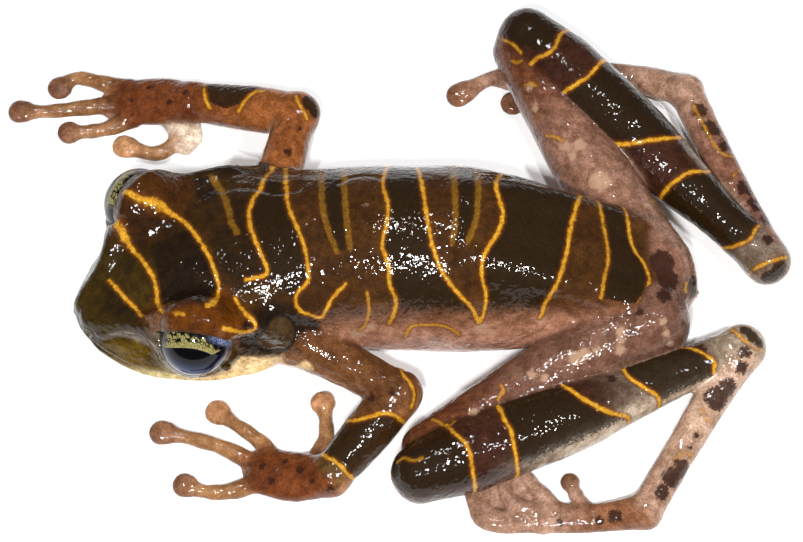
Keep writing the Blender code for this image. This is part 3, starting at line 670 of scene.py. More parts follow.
def rough_forms():
    """Every form as a simple closed mesh, one after another."""
    points, faces = [], []

    def add(loops, first, last):
        more, new = loops_to_faces(loops, first, last, len(points))
        points.extend(more)
        faces.extend(new)

    turns = np.linspace(0, 2 * math.pi, BODY_SIDES, endpoint=False)
    loops = []
    for back in LENGTH * (1 - np.cos(np.linspace(0.06, math.pi - 0.06, BODY_LOOPS))) / 2:
        half, top, bottom, middle = section(back)[:4]
        height = np.where(np.sin(turns) > 0, top - middle, middle - bottom) * np.sin(turns)
        place = np.full(BODY_SIDES, back)
        loops.append(to_world(place, half * np.cos(turns), middle + height))
    add(loops, to_world(0.0, 0.0, SECTIONS[0][2]), to_world(LENGTH, 0.0, SECTIONS[-1][2]))
    for shape in (*TUBES.values(), *DIGITS.values()):
        add(*shape.rings(LIMB_SIDES))
    for eye in EYES.values():
        loops = []
        for tilt in np.linspace(-1.3, 1.3, EYE_LOOPS):
            level = EYE_RADIUS * np.array((0, 0, math.sin(tilt)))
            circle = np.stack((np.cos(turns), np.sin(turns), 0 * turns), axis=1)
            loops.append(eye.centre + level + EYE_RADIUS * math.cos(tilt) * circle)
        add(loops, eye.centre - (0, 0, EYE_RADIUS), eye.centre + (0, 0, EYE_RADIUS))
    for web in WEBS:
        kept = len(web.outline) // 2
        loops = []
        for i in range(kept):
            a, b = web.outline[i], web.outline[-1 - i]
            levels = (web.low[2], web.high[2])
            loops.append([(*a, levels[0]), (*b, levels[0]), (*b, levels[1]), (*a, levels[1])])
        ends = [np.mean(loops[k], axis=0) for k in (0, -1)]
        add(loops, *ends)
    return points, faces


def new_object(name, points, faces):
    """A mesh object whose faces look outward."""
    mesh = bpy.data.meshes.new(name)
    mesh.from_pydata([tuple(p) for p in points], [], faces)
    work = bmesh.new()
    work.from_mesh(mesh)
    bmesh.ops.recalc_face_normals(work, faces=work.faces)
    work.to_mesh(mesh)
    work.free()
    obj = bpy.data.objects.new(name, mesh)
    bpy.context.scene.collection.objects.link(obj)
    return obj


def remesh(obj, voxel):
    """Wraps the mesh in one even net."""
    modifier = obj.modifiers.new("net", "REMESH")
    modifier.mode = "VOXEL"
    modifier.voxel_size = voxel
    graph = bpy.context.evaluated_depsgraph_get()
    mesh = bpy.data.meshes.new_from_object(obj.evaluated_get(graph))
    obj.modifiers.remove(modifier)
    old, obj.data = obj.data, mesh
    bpy.data.meshes.remove(old)


def read_points(mesh, kind="co"):
    values = np.empty(len(mesh.vertices) * 3, np.float32)
    mesh.vertices.foreach_get(kind, values)
    return values.reshape(-1, 3).astype(float)


def write_points(mesh, points):
    mesh.vertices.foreach_set("co", points.astype(np.float32).ravel())
    mesh.update()


def settle(mesh, rounds, reach):
    """Moves each point along its normal onto the frog's skin."""
    for _ in range(rounds):
        points, normals = read_points(mesh), read_points(mesh, "normal")
        here = skin_field(points)
        ahead = skin_field(points + normals * PROBE)
        slope = np.clip((ahead - here) / PROBE, GENTLEST, STEEPEST)
        write_points(mesh, points - normals * np.clip(here / slope, -reach, reach)[:, None])


def keep_largest(mesh):
    """Removes all but the largest connected piece."""
    work = bmesh.new()
    work.from_mesh(mesh)
    left, groups = set(work.verts), []
    while left:
        group, edge = set(), [left.pop()]
        while edge:
            vert = edge.pop()
            group.add(vert)
            fresh = [e.other_vert(vert) for e in vert.link_edges]
            fresh = [v for v in fresh if v in left]
            left.difference_update(fresh)
            edge += fresh
        groups.append(group)
    largest = max(groups, key=len)
    bmesh.ops.delete(work, geom=[v for v in work.verts if v not in largest], context="VERTS")
    work.to_mesh(mesh)
    work.free()


def make_skin_mesh():
    obj = new_object("skin", *rough_forms())
    remesh(obj, ROUGH_VOXEL)
    keep_largest(obj.data)
    settle(obj.data, *ROUGH_MOVES)
    remesh(obj, FINE_VOXEL)
    settle(obj.data, *FINE_MOVES)
    return obj


def evened(mesh, values, rounds):
    """Values evened out over the mesh's net, each point with its neighbours."""
    ends = np.empty(len(mesh.edges) * 2, np.int32)
    mesh.edges.foreach_get("vertices", ends)
    a, b = ends.reshape(-1, 2).T
    count = len(values)
    share = 1 / (1.0 + np.bincount(a, minlength=count) + np.bincount(b, minlength=count))
    for _ in range(rounds):
        values = np.stack(
            [
                (v + np.bincount(a, v[b], count) + np.bincount(b, v[a], count)) * share
                for v in values.T
            ],
            axis=1,
        )
    return values


# Places in the photograph.

FOCAL = CAMERA_DISTANCE * PIXELS_PER_MM
SINE, COSINE = math.sin(CAMERA_ELEVATION), math.cos(CAMERA_ELEVATION)
EYE_POINT = np.array((0.0, -CAMERA_DISTANCE * COSINE, AIM_HEIGHT + CAMERA_DISTANCE * SINE))
CAST_LEVELS = np.linspace(17.0, 0.0, 341)
BODY_GIRTH = 9.0


def cast(field, pixels):
    """Where the photograph's pixels lie on a form: the first place within it along each ray."""
    places = []
    for u, v in pixels:
        right, up = (u - PHOTO_WIDTH / 2) / FOCAL, (PHOTO_HEIGHT / 2 - v) / FOCAL
        way = np.array((right, up * SINE + COSINE, up * COSINE - SINE))
        ray = EYE_POINT + way * ((CAST_LEVELS - EYE_POINT[2]) / way[2])[:, None]
        depth = field(ray)
        inside = np.nonzero(depth < 0)[0]
        places.append(ray[inside[0] if len(inside) else np.argmin(depth)])
    return np.array(places)


def body_unrolled(points):
    """Flat places on the body's skin: behind the snout, and round it from the mid-back, in mm."""
    back, side, height = to_body(points)
    middle = section(back)[3]
    return np.stack((back, np.arctan2(side, height - middle) * BODY_GIRTH), axis=1)


def unrolled(owner, points):
    """Flat places on the skin of the body or of a limb."""
    return body_unrolled(points) if owner == "body" else TUBES[owner].unrolled(points)


def flat_places(owner, pixels):
    """Where the photograph's pixels lie on a form's unrolled skin."""
    field = body_field if owner == "body" else TUBES[owner].field
    return unrolled(owner, cast(field, pixels))


# Markings. Each line has a brightness and its pixels, from the far side to the near one. Lines
# that reach the far edge of a form run on round it, out of the photograph's sight.

TRUNK_LINES = {
    "neck": (1.0, (
        (262, 186), (257, 194), (252, 202), (249, 213), (250, 225), (255, 240), (261, 254),
        (267, 268), (265, 275), (255, 278), (246, 280),
    )),
    "shoulder": (0.9, (
        (286, 181), (287, 198), (291, 214), (298, 230), (304, 245), (307, 262), (308, 281),
        (299, 291), (295, 300), (300, 310), (311, 315), (321, 317), (327, 308), (334, 296),
        (346, 284),
    )),
    "faint_1": (0.22, ((322, 168), (322, 196), (324, 215), (330, 235), (337, 252))),
    "faint_2": (0.22, ((344, 170), (345, 200), (347, 225), (350, 248))),
    "middle_1": (0.9, (
        (386, 170), (383, 185), (388, 205), (386, 225), (382, 245), (388, 264), (390, 285),
        (396, 300), (394, 314), (389, 324),
    )),
    "middle_2": (1.0, (
        (417, 168), (422, 185), (426, 210), (430, 235), (437, 260), (446, 278), (460, 295),
        (472, 308), (478, 322),
    )),
    "faint_3": (0.22, ((453, 170), (455, 195), (455, 225), (452, 243))),
    "faint_4": (0.22, ((477, 174), (478, 195), (476, 220), (468, 241))),
    "loin_1": (1.0, (
        (500, 176), (496, 186), (500, 200), (503, 215), (498, 232), (488, 248), (482, 262),
        (482, 278), (486, 293), (485, 308), (480, 322),
    )),
    "loin_2": (0.95, (
        (575, 211), (570, 230), (567, 250), (562, 270), (556, 286), (547, 300), (540, 318),
    )),
    "hip_1": (0.7, ((604, 229), (607, 245), (608, 262), (604, 280), (601, 298))),
    "hip_2": (0.8, ((633, 248), (643, 262), (649, 277), (647, 291), (638, 302))),
}
HEAD_LINES = (
    (0.95, ((109, 280), (118, 290), (127, 300), (136, 309), (141, 315))),
    (1.0, (
        (116, 224), (122, 234), (130, 246), (139, 257), (149, 270), (155, 282), (157, 296),
        (161, 311),
    )),
    (1.0, (
        (123, 193), (137, 198), (152, 203), (166, 210), (178, 218), (190, 228), (201, 243),
        (209, 257), (215, 272), (219, 287), (217, 299), (207, 306),
    )),
    (0.7, ((175, 314), (183, 314))),
    (1.0, (
        (235, 299), (240, 307), (247, 315), (254, 321), (255, 328), (247, 332), (235, 331), (223, 328),
    )),
    (0.22, ((214, 180), (222, 192), (228, 208), (231, 222), (237, 233))),
    (0.6, ((367, 292), (369, 308), (366, 322), (359, 331))),
    (0.8, ((405, 337), (410, 328), (420, 325), (440, 325), (452, 329), (459, 334))),
    (0.6, ((683, 262), (686, 278), (685, 295), (681, 315), (680, 330), (675, 343))),
)
# Dark bands of the trunk: how many points of one line, and how many of the next.
TRUNK_BANDS = (
    ("neck", 9, "shoulder", 9),
    ("faint_1", 5, "faint_2", 4),
    ("middle_1", 10, "middle_2", 9),
    ("faint_3", 4, "faint_4", 4),
    ("loin_1", 11, "loin_2", 7),
    ("hip_1", 5, "hip_2", 5),
)
# Lines across the shanks and the left forearm, and the dark bars between them. None stands for
# the limb's own end.
LIMB_LINES = {
    "shank_right": (
        (0.8, ((561, 34), (555, 48), (546, 55), (535, 60))),
        (1.0, ((603, 61), (590, 75), (575, 85), (566, 91), (559, 100))),
        (1.0, ((676, 138), (651, 140), (628, 144), (613, 144), (600, 142))),
        (1.0, ((706, 172), (691, 172), (677, 180), (666, 190))),
        (0.8, ((756, 228), (750, 239), (736, 246), (718, 248))),
    ),
    "shank_left": (
        (0.9, ((452, 431), (460, 438), (467, 446), (471, 458), (473, 474), (475, 488))),
        (1.0, ((500, 409), (504, 419), (510, 429), (513, 441), (516, 458), (517, 476))),
        (1.0, ((560, 384), (572, 391), (586, 400), (600, 408), (615, 414), (628, 418))),
        (1.0, ((620, 362), (625, 372), (634, 381), (645, 388), (658, 397))),
        (1.0, ((678, 345), (692, 349), (706, 355), (714, 362), (714, 373))),
        (0.8, ((729, 330), (740, 338), (752, 346), (762, 350))),
    ),
    "forearm_left": (
        (0.9, ((348, 421), (356, 420), (366, 418), (380, 414), (392, 414), (400, 419))),
        (0.9, ((325, 456), (334, 461), (341, 466), (346, 472), (351, 477))),
    ),
}
LIMB_BARS = {
    "shank_right": ((1, 2), (3, 4)),
    "shank_left": ((None, 0), (1, 2), (3, 4)),
    "forearm_left": ((0, 1),),
}
# Which forms carry the loose marks of each part of the frog.
CARRIERS = {
    "body": ("body",),
    "arm_left": ("upper_arm_left", "forearm_left", "palm_left"),
    "arm_right": ("upper_arm_right", "forearm_right", "palm_right"),
    "hips": ("body", "thigh_left", "thigh_right"),
    "thigh_left": ("thigh_left", "shank_left"),
    "thigh_right": ("thigh_right", "shank_right"),
    "shin_left": ("shank_left", "tarsus_left", "sole_left"),
    "shin_right": ("shank_right", "tarsus_right", "sole_right"),
}
# Lines of each part: their brightness and their pixels.
LOOSE_LINES = {
    "arm_left": ((0.9, ((398, 366), (404, 375), (411, 385), (414, 397), (411, 408))),),
    "arm_right": (
        (0.9, ((205, 82), (204, 92), (206, 101), (210, 108))),
        (0.9, ((264, 91), (256, 92), (249, 97), (243, 104), (239, 111))),
        (0.8, ((296, 96), (299, 105), (304, 112), (307, 119))),
    ),
    "thigh_right": (
        (0.6, ((497, 36), (506, 41), (515, 46), (521, 53))),
        (0.5, ((512, 61), (517, 63), (522, 61))), (0.45, ((526, 85), (531, 83), (536, 86))),
        (0.6, ((547, 136), (556, 137), (563, 141))),
    ),
    "thigh_left": (
        (0.6, ((432, 419), (440, 423), (448, 427), (454, 422))),
        (0.5, ((398, 462), (405, 458), (414, 461), (422, 458))),
        (0.6, ((501, 385), (503, 391), (498, 399))),
    ),
    "shin_left": (
        (0.5, ((702, 410), (708, 420), (720, 424), (731, 418))),
        (0.5, ((675, 459), (682, 453), (691, 455), (697, 464))),
    ),
    "shin_right": (
        (0.8, ((786, 257), (773, 261), (758, 267), (748, 275))),
        (0.5, ((694, 106), (703, 124), (714, 144), (726, 156), (741, 157))),
        (0.5, ((733, 176), (741, 171), (749, 177))),
    ),
}
# Round marks of each part: the pixel and the radius in pixels. Dark spots are crisp, dusky ones
# are made of fine dots, and pale ones are blotches.
DARK_SPOTS = {
    "arm_left": ((420, 378, 8), (424, 390, 9), (423, 401, 8)),
    "arm_right": (
        (218, 87, 12), (232, 88, 14), (227, 98, 11), (247, 87, 12), (216, 97, 8), (238, 97, 9),
        (310, 103, 9), (315, 112, 7),
    ),
    "thigh_right": ((526, 15, 15), (545, 24, 15), (540, 38, 14), (520, 32, 14)),
    "hips": ((693, 284, 8), (693, 298, 7)),
    "shin_right": ((770, 278, 9), (780, 268, 9)),
    "shin_left": ((752, 336, 7), (745, 330, 6), (760, 343, 6)),
}
DUSKY_SPOTS = {
    "hips": ((662, 262, 15), (668, 280, 14), (664, 296, 10), (640, 312, 6)),
    "arm_left": (
        (300, 470, 6), (285, 461, 5), (271, 481, 6), (331, 489, 6), (346, 463, 6), (312, 482, 5),
        (262, 466, 5), (372, 398, 6), (392, 392, 5),
    ),
    "arm_right": (
        (150, 88, 5), (132, 100, 5), (170, 102, 5), (186, 92, 5), (288, 152, 6), (300, 128, 5),
    ),
    "shin_left": (
        (718, 398, 15), (728, 388, 12), (672, 478, 13), (683, 468, 12), (662, 492, 10),
        (696, 436, 5), (690, 447, 4), (742, 368, 9), (615, 516, 9), (600, 520, 7), (560, 522, 5),
        (520, 524, 5), (700, 350, 9), (745, 352, 8), (612, 378, 7), (596, 372, 6),
    ),
    "shin_right": (
        (700, 110, 10), (712, 128, 12), (724, 146, 10), (745, 188, 11), (755, 205, 11),
        (764, 220, 8), (768, 240, 8),
    ),
}
PALE_SPOTS = {
    "body": (
        (358, 334, 8), (371, 326, 6), (481, 328, 8), (492, 333, 5), (541, 320, 5), (365, 205, 2),
    ),
    "thigh_right": (
        (529, 88, 4), (535, 107, 5), (565, 146, 6), (580, 144, 7), (572, 156, 5), (600, 181, 11),
        (613, 217, 5), (632, 224, 8), (640, 232, 8), (648, 206, 4),
    ),
    "thigh_left": (
        (574, 357, 7), (585, 353, 6), (596, 350, 4), (620, 350, 5), (622, 340, 4), (620, 331, 5),
        (532, 374, 5), (545, 378, 4), (474, 412, 5), (663, 322, 4), (666, 333, 4), (670, 343, 4),
    ),
}
DUSK_EDGE = (-0.8, 0.5)
SPOT_ROUNDING = 0.5
LINE_HALF_WIDTH = 0.19
FAINT, FAINT_HALF_WIDTH = 0.3, 0.29
FAR_EDGE = 1.5
FAR_DRIFT = 0.2
LIMB_WRAP = 0.7
LIMB_PAST = 8.0


def run_round(line):
    """Carries a trunk line on from the far edge of the back down the hidden flank."""
    drop = FAR_EDGE * BODY_GIRTH + line[0, 1]
    if drop < 0.5 or line[0, 1] > -1.0:
        return line
    slope = (line[0, 0] - line[1, 0]) / max(line[1, 1] - line[0, 1], 0.5)
    drift = np.clip(slope, -FAR_DRIFT, FAR_DRIFT) * drop
    return np.vstack((line[0] + (drift, -drop), line[0] + (0.6 * drift, -0.5 * drop), line))


def wrap(line, girth):
    """Carries a line across a limb on round both of its sides."""
    first, last = line[0].copy(), line[-1].copy()
    first[1] += math.copysign(LIMB_WRAP * girth, first[1] - last[1])
    last[1] += math.copysign(LIMB_WRAP * girth, last[1] - line[0, 1])
    return smooth_line(np.vstack((first, line, last)))


def flat_marks(owner):
    """The owner's lines with their brightness, and its dark outlines, unrolled."""
    lines, bands = [], []
    if owner == "body":
        flat = {name: flat_places(owner, pixels) for name, (glow, pixels) in TRUNK_LINES.items()}
        lines = [(TRUNK_LINES[name][0], smooth_line(run_round(flat[name]))) for name in flat]
        lines += [(glow, smooth_line(flat_places(owner, pixels))) for glow, pixels in HEAD_LINES]
        for one, first, two, second in TRUNK_BANDS:
            edges = [smooth_line(run_round(flat[n][:k])) for n, k in ((one, first), (two, second))]
            bands.append(np.vstack((edges[0], edges[1][::-1])))
    if owner in LIMB_LINES:
        tube = TUBES[owner]
        girth = tube.wide.mean()
        edges = [wrap(flat_places(owner, pixels), girth) for glow, pixels in LIMB_LINES[owner]]
        lines += [(glow, edge) for (glow, pixels), edge in zip(LIMB_LINES[owner], edges)]
        for start, end in LIMB_BARS[owner]:
            first = edges[end] * (0, 1) - (LIMB_PAST, 0) if start is None else edges[start]
            bands.append(np.vstack((first, edges[end][::-1])))
    return lines, bands


def put_line(marks, chosen, far, glow):
    """Marks the points near a line with its brightness."""
    far = far - (FAINT_HALF_WIDTH if glow < FAINT else LINE_HALF_WIDTH * (0.6 + 0.4 * glow))
    marks["glow"][chosen] = np.where(far < marks["line"][chosen], glow, marks["glow"][chosen])
    marks["line"][chosen] = np.minimum(marks["line"][chosen], far)


def put_spots(values, points, chosen, spots, dusky):
    """Adds round marks to the values of the chosen points."""
    for u, v, radius in spots:
        centre = cast(skin_field, ((u, v),))[0]
        far = np.linalg.norm(points[chosen] - centre, axis=1) - radius / PIXELS_PER_MM
        if dusky:
            values[chosen] = np.maximum(values[chosen], 1 - rise(far, *DUSK_EDGE))
        else:
            values[chosen] = blend(values[chosen], far, SPOT_ROUNDING)


def mark(points, owners):
    """Distances to lines, dark bands and pale blotches for each point, and how dusky it is."""
    count = len(points)
    marks = {name: np.full(count, NOTHING_NEAR) for name in ("line", "band", "blotch")}
    marks["glow"], marks["dusk"], marks["hold"] = np.zeros((3, count))
    marks["hold"] += 1
    for owner in ("body", *LIMB_LINES):
        chosen = owned_by(owners, (owner,))
        flat = unrolled(owner, points[chosen])
        lines, bands = flat_marks(owner)
        for glow, path in lines:
            put_line(marks, chosen, path_distance(flat, path), glow)
        for outline in bands:
            inside = patch_distance(flat, outline)
            marks["band"][chosen] = np.minimum(marks["band"][chosen], inside)
        if owner == "body":
            near = 1 - rise(flat[:, 1] / BODY_GIRTH, *NEAR_END)
            marks["hold"][chosen] = near * (1 - rise(-flat[:, 1] / BODY_GIRTH, *FAR_END))
        elif owner in PALE_SIDE:
            way, start, end = PALE_SIDE[owner]
            turn = way * flat[:, 1] / TUBES[owner].wide.mean()
            marks["hold"][chosen] = 1 - rise(turn, start, end)
    places = {part: owned_by(owners, names) for part, names in CARRIERS.items()}
    for part, lines in LOOSE_LINES.items():
        chosen = places[part]
        for glow, pixels in lines:
            path = smooth_line(cast(skin_field, pixels))
            put_line(marks, chosen, path_distance(points[chosen], path), glow)
    for name, table in (("band", DARK_SPOTS), ("dusk", DUSKY_SPOTS), ("blotch", PALE_SPOTS)):
        for part, spots in table.items():
            put_spots(marks[name], points, places[part], spots, name == "dusk")
    return marks


# Where dark bands fade out, as angles from the top: down the flanks, and on the shanks' pale side.
NEAR_END, FAR_END = (0.72, 1.2), (1.1, 1.6)
PALE_SIDE = {"shank_left": (1, 0.75, 1.5), "shank_right": (-1, 1.0, 1.7)}

# Colours, as the photograph shows them in full light, in steps from 0 to 255.

LIGHT = 1.7


def seen(red, green, blue):
    """The share of light that a surface sends back where the photograph shows it like this."""
    return tuple((value / 255) ** 2.2 / LIGHT for value in (red, green, blue))


BROWN = seen(74, 47, 20)
OLIVE = seen(62, 47, 12)
NAPE = seen(62, 42, 14)
CHEEK = seen(98, 74, 8)
# The far lid's brown is the near lid's brown, darkened as painted shade.
LID_BROWN, SHADED_LID_BROWN = seen(106, 60, 16), seen(74, 44, 13)
FLANK = seen(108, 68, 42)
LOW_FLANK = seen(205, 148, 122)
BELLY = seen(232, 208, 185)
CREAM = seen(252, 214, 156)
LIP = seen(245, 228, 168)
NIGHT = seen(38, 26, 11)
DRUM = seen(78, 59, 38)
# A dark ring round each ear drum; the same colour is also used as painted shade along the upper lids'
# rims.
DRUM_RING_AND_LID_SHADE = seen(32, 25, 18)
LID_RIM = seen(150, 138, 122)
# Painted sheen on the folds in front of the eyes and along the canthus ridges.
FOLD_SHEEN = seen(140, 125, 112)
ARM_LEFT, ARM_RIGHT = seen(108, 70, 42), seen(150, 90, 49)
ARM_UNDER = seen(170, 115, 72)
WRIST = seen(98, 78, 47)
HAND = seen(114, 63, 34)
FINGER = seen(164, 119, 81)
DISC, PALE_DISC = seen(134, 94, 72), seen(206, 152, 110)
PAD = seen(238, 216, 194)
THIGH_LEFT, THIGH_RIGHT = seen(120, 86, 72), seen(152, 112, 94)
THIGH_KNEE = seen(108, 64, 42)
SHANK_COLOUR = seen(64, 38, 27)
SHANK_PALE_LEFT, SHANK_PALE_RIGHT = seen(206, 186, 164), seen(162, 146, 128)
TARSUS_LEFT = seen(200, 165, 142)
TARSUS_RIGHT = seen(135, 92, 76)
SOLE_LEFT = seen(142, 95, 68)
FOOT = seen(176, 138, 118)
UNDERSIDE = seen(210, 178, 155)
GOLD_DEEP, GOLD = seen(206, 130, 20), seen(244, 188, 62)
BLOTCH = seen(205, 165, 135)
DOT, DUSK = seen(52, 28, 16), seen(54, 31, 23)
BAND_DARK, BAND_PALE = seen(26, 17, 6), seen(54, 38, 16)
LINE_EDGE = seen(112, 62, 12)
EYE_UNDER, EYE_LOWEST = seen(6, 14, 42), seen(32, 58, 112)
PUPIL = seen(2, 4, 12)
IRIS, IRIS_FLECK, IRIS_RING = seen(112, 104, 54), seen(178, 166, 108), seen(190, 182, 122)
# The eye's dark above its golden band is painted shadow of the upper lid.
CURL, EYE_LID_SHADOW = seen(10, 10, 7), seen(10, 11, 14)
BACK_RIM, BACK_RIM_FLECK, FRONT_RIM = seen(66, 84, 134), seen(160, 166, 192), seen(176, 188, 200)

# Soft tones of the head: colour, strength, softness in mm, whether both sides of the head have
# it, and the outline in pixels.
TONES = (
    (NIGHT, 1.0, 0.35, False, (
        (150, 248), (155, 262), (158, 280), (160, 300), (165, 308), (185, 303), (205, 305),
        (216, 297), (217, 285), (210, 262), (200, 243), (188, 230), (172, 236),
    )),
    (NIGHT, 0.6, 0.9, False, (
        (118, 218), (140, 205), (165, 212), (186, 226), (160, 245), (148, 262), (132, 245),
    )),
    (NIGHT, 0.9, 0.6, False, ((196, 172), (213, 178), (219, 196), (205, 203), (194, 190))),
    (NIGHT, 0.7, 0.9, False, (
        (205, 210), (224, 222), (246, 188), (249, 205), (249, 228), (263, 262), (255, 288),
        (240, 288), (226, 270), (214, 242),
    )),
    (NIGHT, 0.6, 0.7, False, (
        (104, 288), (120, 296), (140, 318), (152, 326), (140, 332), (120, 325), (100, 308),
    )),
    (NIGHT, 0.92, 0.5, True, (
        (242, 322), (258, 308), (278, 302), (300, 306), (318, 318), (318, 338), (300, 350),
        (276, 356), (256, 354), (240, 348),
    )),
    # Painted sheen on the folds in front of the eyes.
    (FOLD_SHEEN, 0.2, 0.35, True, (
        (150, 316), (156, 312), (162, 320), (164, 334), (158, 340), (152, 330),
    )),
    # Painted highlight along the canthus ridge, from the nostril to the eye.
    (FOLD_SHEEN, 0.55, 0.3, True, (
        (108, 334), (126, 331), (140, 335), (152, 341), (160, 350), (148, 347), (128, 338),
    )),
    # Painted shade along the upper lids' rims, on both sides of the head.
    (DRUM_RING_AND_LID_SHADE, 0.5, 0.3, True, (
        (161, 336), (170, 331), (190, 328), (205, 330), (190, 332), (172, 335),
    )),
)
# The pale stripe from below the eye back over the shoulder.
STRIPE = (
    (241, 357), (257, 358), (273, 359), (291, 356), (302, 349), (311, 344), (311, 348), (299, 357),
    (286, 365), (273, 370), (257, 374), (241, 376), (230, 377), (233, 370), (237, 362),
)
STRIPED = ("body", "upper_arm_left", "upper_arm_right")
COLOUR_ROUNDS = 24
PALE_DISCS = ("finger_1_left", "finger_2_left", "finger_1_right")
# Where the colours of flank and lip start: behind the snout in mm, and degrees from the top.
FLANK_START = ((14, 20, 26, 48, 56), (95, 80, 62, 50, 40))
LIP_START = ((0, 5, 9, 12, 20), (93, 82, 78, 77, 78))


def mix(a, b, share):
    """Colours from a to b, by each point's share of b."""
    share = np.asarray(share)[:, None]
    return np.asarray(a) * (1 - share) + np.asarray(b) * share


def paint_body(points):
    """Colours of head and trunk."""
    back, side, height = to_body(points)
    half, top, bottom, middle = section(back)[:4]
    turn = np.abs(np.degrees(np.arctan2(side, height - middle)))
    colour = mix(OLIVE, NAPE, rise(back, 5.0, 12.0))
    colour = mix(colour, BROWN, rise(back, 16.0, 24.0))
    cheek = rise(turn, 48, 72) * (1 - rise(back, 8.0, 12.0)) * rise(back, 0.5, 3.0)
    colour = mix(colour, CHEEK, cheek)
    # The near lid gets its brown, and the far lid a darker copy of it as painted shade.
    for eye, brown in zip(EYES.values(), (LID_BROWN, SHADED_LID_BROWN)):
        far, upper, lower = eye.measures(points)
        lid = (1 - rise(far, ORBIT + 0.2, ORBIT + 1.8)) * (1 - rise(turn, 75, 95))
        colour = mix(colour, brown, lid * rise(upper - lower, -1.0, 0.5))
    flank_start = np.interp(back, *FLANK_START)
    colour = mix(colour, FLANK, rise(turn, flank_start - 12, flank_start + 8) * rise(back, 15, 22))
    colour = mix(colour, LOW_FLANK, rise(turn, flank_start - 2, flank_start + 26) * rise(back, 20, 26))
    lip_start = np.interp(back, *LIP_START)
    lip = rise(turn, lip_start, lip_start + 9) * rise(back, 1.0, 5.0) * (1 - rise(back, 18, 20.5))
    colour = mix(colour, mix(LIP, CREAM, rise(back, 5.0, 11.0)), lip)
    return mix(colour, BELLY, rise(turn, 112, 140))


def paint_limb(owner, points):
    """Colours of a limb, along it and round it."""
    tube = TUBES[owner]
    where, across, up, beyond = tube.measures(points)
    share = where / (len(tube.centres) - 1)
    right = owner.endswith("right")
    outer = np.degrees(np.arctan2(-across if right else across, up))
    turn = np.abs(outer)
    if owner.startswith("thigh"):
        colour = mix(THIGH_RIGHT if right else THIGH_LEFT, THIGH_KNEE, rise(share, 0.5, 0.9))
    elif owner.startswith("shank"):
        tone = SHANK_PALE_RIGHT if right else SHANK_PALE_LEFT
        colour = mix(SHANK_COLOUR, tone, rise(outer, 32, 62) * rise(share, 0.15, 0.5))
        if not right:
            colour = mix(colour, tone, 0.25 * rise(share, 0.5, 0.7))
        colour = mix(colour, tone, 0.55 * rise(share, 0.86, 0.96))
    elif owner.startswith("tarsus"):
        colour = mix(TARSUS_RIGHT if right else TARSUS_LEFT, FOOT, rise(share, 0.5, 1.0))
    elif owner.startswith("sole"):
        colour = mix(FOOT if right else SOLE_LEFT, FOOT, rise(share, 0.4, 1.0))
    elif owner.startswith(("palm", "pad")):
        colour = np.tile(HAND if owner.startswith("palm") else PAD, (len(points), 1))
    elif owner.startswith("forearm"):
        colour = mix(ARM_RIGHT if right else ARM_LEFT, HAND if right else WRIST, rise(share, 0.5, 0.95))
        colour = mix(colour, ARM_UNDER, 0.8 * rise(-outer, 25, 75))
    else:
        colour = mix(ARM_RIGHT if right else ARM_LEFT, ARM_UNDER, 0.7 * rise(outer, 40, 95))
    return mix(colour, UNDERSIDE, rise(turn, 105, 145))


def paint_digit(owner, points):
    """Colours of a finger or a toe, with its disc."""
    tube = DIGITS[owner]
    where = tube.measures(points)[0] / (len(tube.centres) - 1)
    if owner.startswith("toe"):
        return mix(FOOT, DISC, rise(where, 0.7, 1.0))
    disc = PALE_DISC if owner in PALE_DISCS else DISC
    return mix(mix(HAND, FINGER, rise(where, 0.0, 0.45)), disc, rise(where, 0.75, 1.0))


def paint(mesh, points, owners):
    """The skin's colour before its lines, bands and blotches, point by point."""
    colour = np.tile(FOOT, (len(points), 1))
    body = owned_by(owners, ("body",))
    spot = points[body]
    colour[body] = paint_body(spot)
    for names, paint_form in ((TUBES, paint_limb), (DIGITS, paint_digit)):
        for owner in names:
            chosen = owned_by(owners, (owner,))
            if len(chosen):
                colour[chosen] = paint_form(owner, points[chosen])
    colour = evened(mesh, colour, COLOUR_ROUNDS)
    # Soft tones of the head, with painted sheen on folds and painted shade by the upper lids, the pale
    # stripe, and the ear drums.
    flat = body_unrolled(spot)
    for tone, strength, soft, both, pixels in TONES:
        outline = smooth_line(flat_places("body", pixels))
        for way in (1, -1) if both else (1,):
            inside = patch_distance(flat, outline * (1, way))
            colour[body] = mix(colour[body], tone, strength * rise(-inside, -soft, soft))
    striped = owned_by(owners, STRIPED)
    flat = body_unrolled(points[striped])
    for way in (1, -1):
        inside = patch_distance(flat, smooth_line(flat_places("body", STRIPE)) * (1, way))
        colour[striped] = mix(colour[striped], CREAM, 0.9 * rise(-inside, -0.25, 0.25))
        far = ear_distance(spot, way)
        colour[body] = mix(colour[body], DRUM_RING_AND_LID_SHADE, 0.8 * hump(far - EAR_RADIUS, 0.3))
        colour[body] = mix(colour[body], DRUM, 0.85 * (1 - rise(far, EAR_RADIUS - 0.3, EAR_RADIUS)))
    # The lids' rims: painted shade along the upper ones, and pale lower ones.
    for eye in EYES.values():
        far, upper, lower = eye.measures(spot)
        near = (far < ORBIT + 0.3) & (np.maximum(upper, lower) < 0.5)
        edge = rise(-np.maximum(upper, lower), -0.2, -0.02) * near
        colour[body] = mix(colour[body], DRUM_RING_AND_LID_SHADE, 0.85 * edge * (upper > lower))
        colour[body] = mix(colour[body], LID_RIM, 0.5 * edge * (lower >= upper))
    return colour


# Fine relief of the skin.

# Lumps: how high they are, and how far apart.
LUMPS = ((0.06, 3.1), (0.035, 1.1), (0.015, 0.5))
MOUTH_DEPTH, MOUTH_WIDTH = 0.3, 0.17
LIP_SWELL, LIP_OFFSET, LIP_WIDTH = 0.12, 0.55, 0.3
NOSTRIL_DEPTH, NOSTRIL_WIDTH = 0.6, 0.34
NOSTRIL_RIM, RIM_RADIUS, RIM_WIDTH = 0.16, 0.7, 0.28
DRUM_DEPTH, DRUM_GROOVE_WIDTH, DRUM_FLOOR = 0.12, 0.2, 1.2
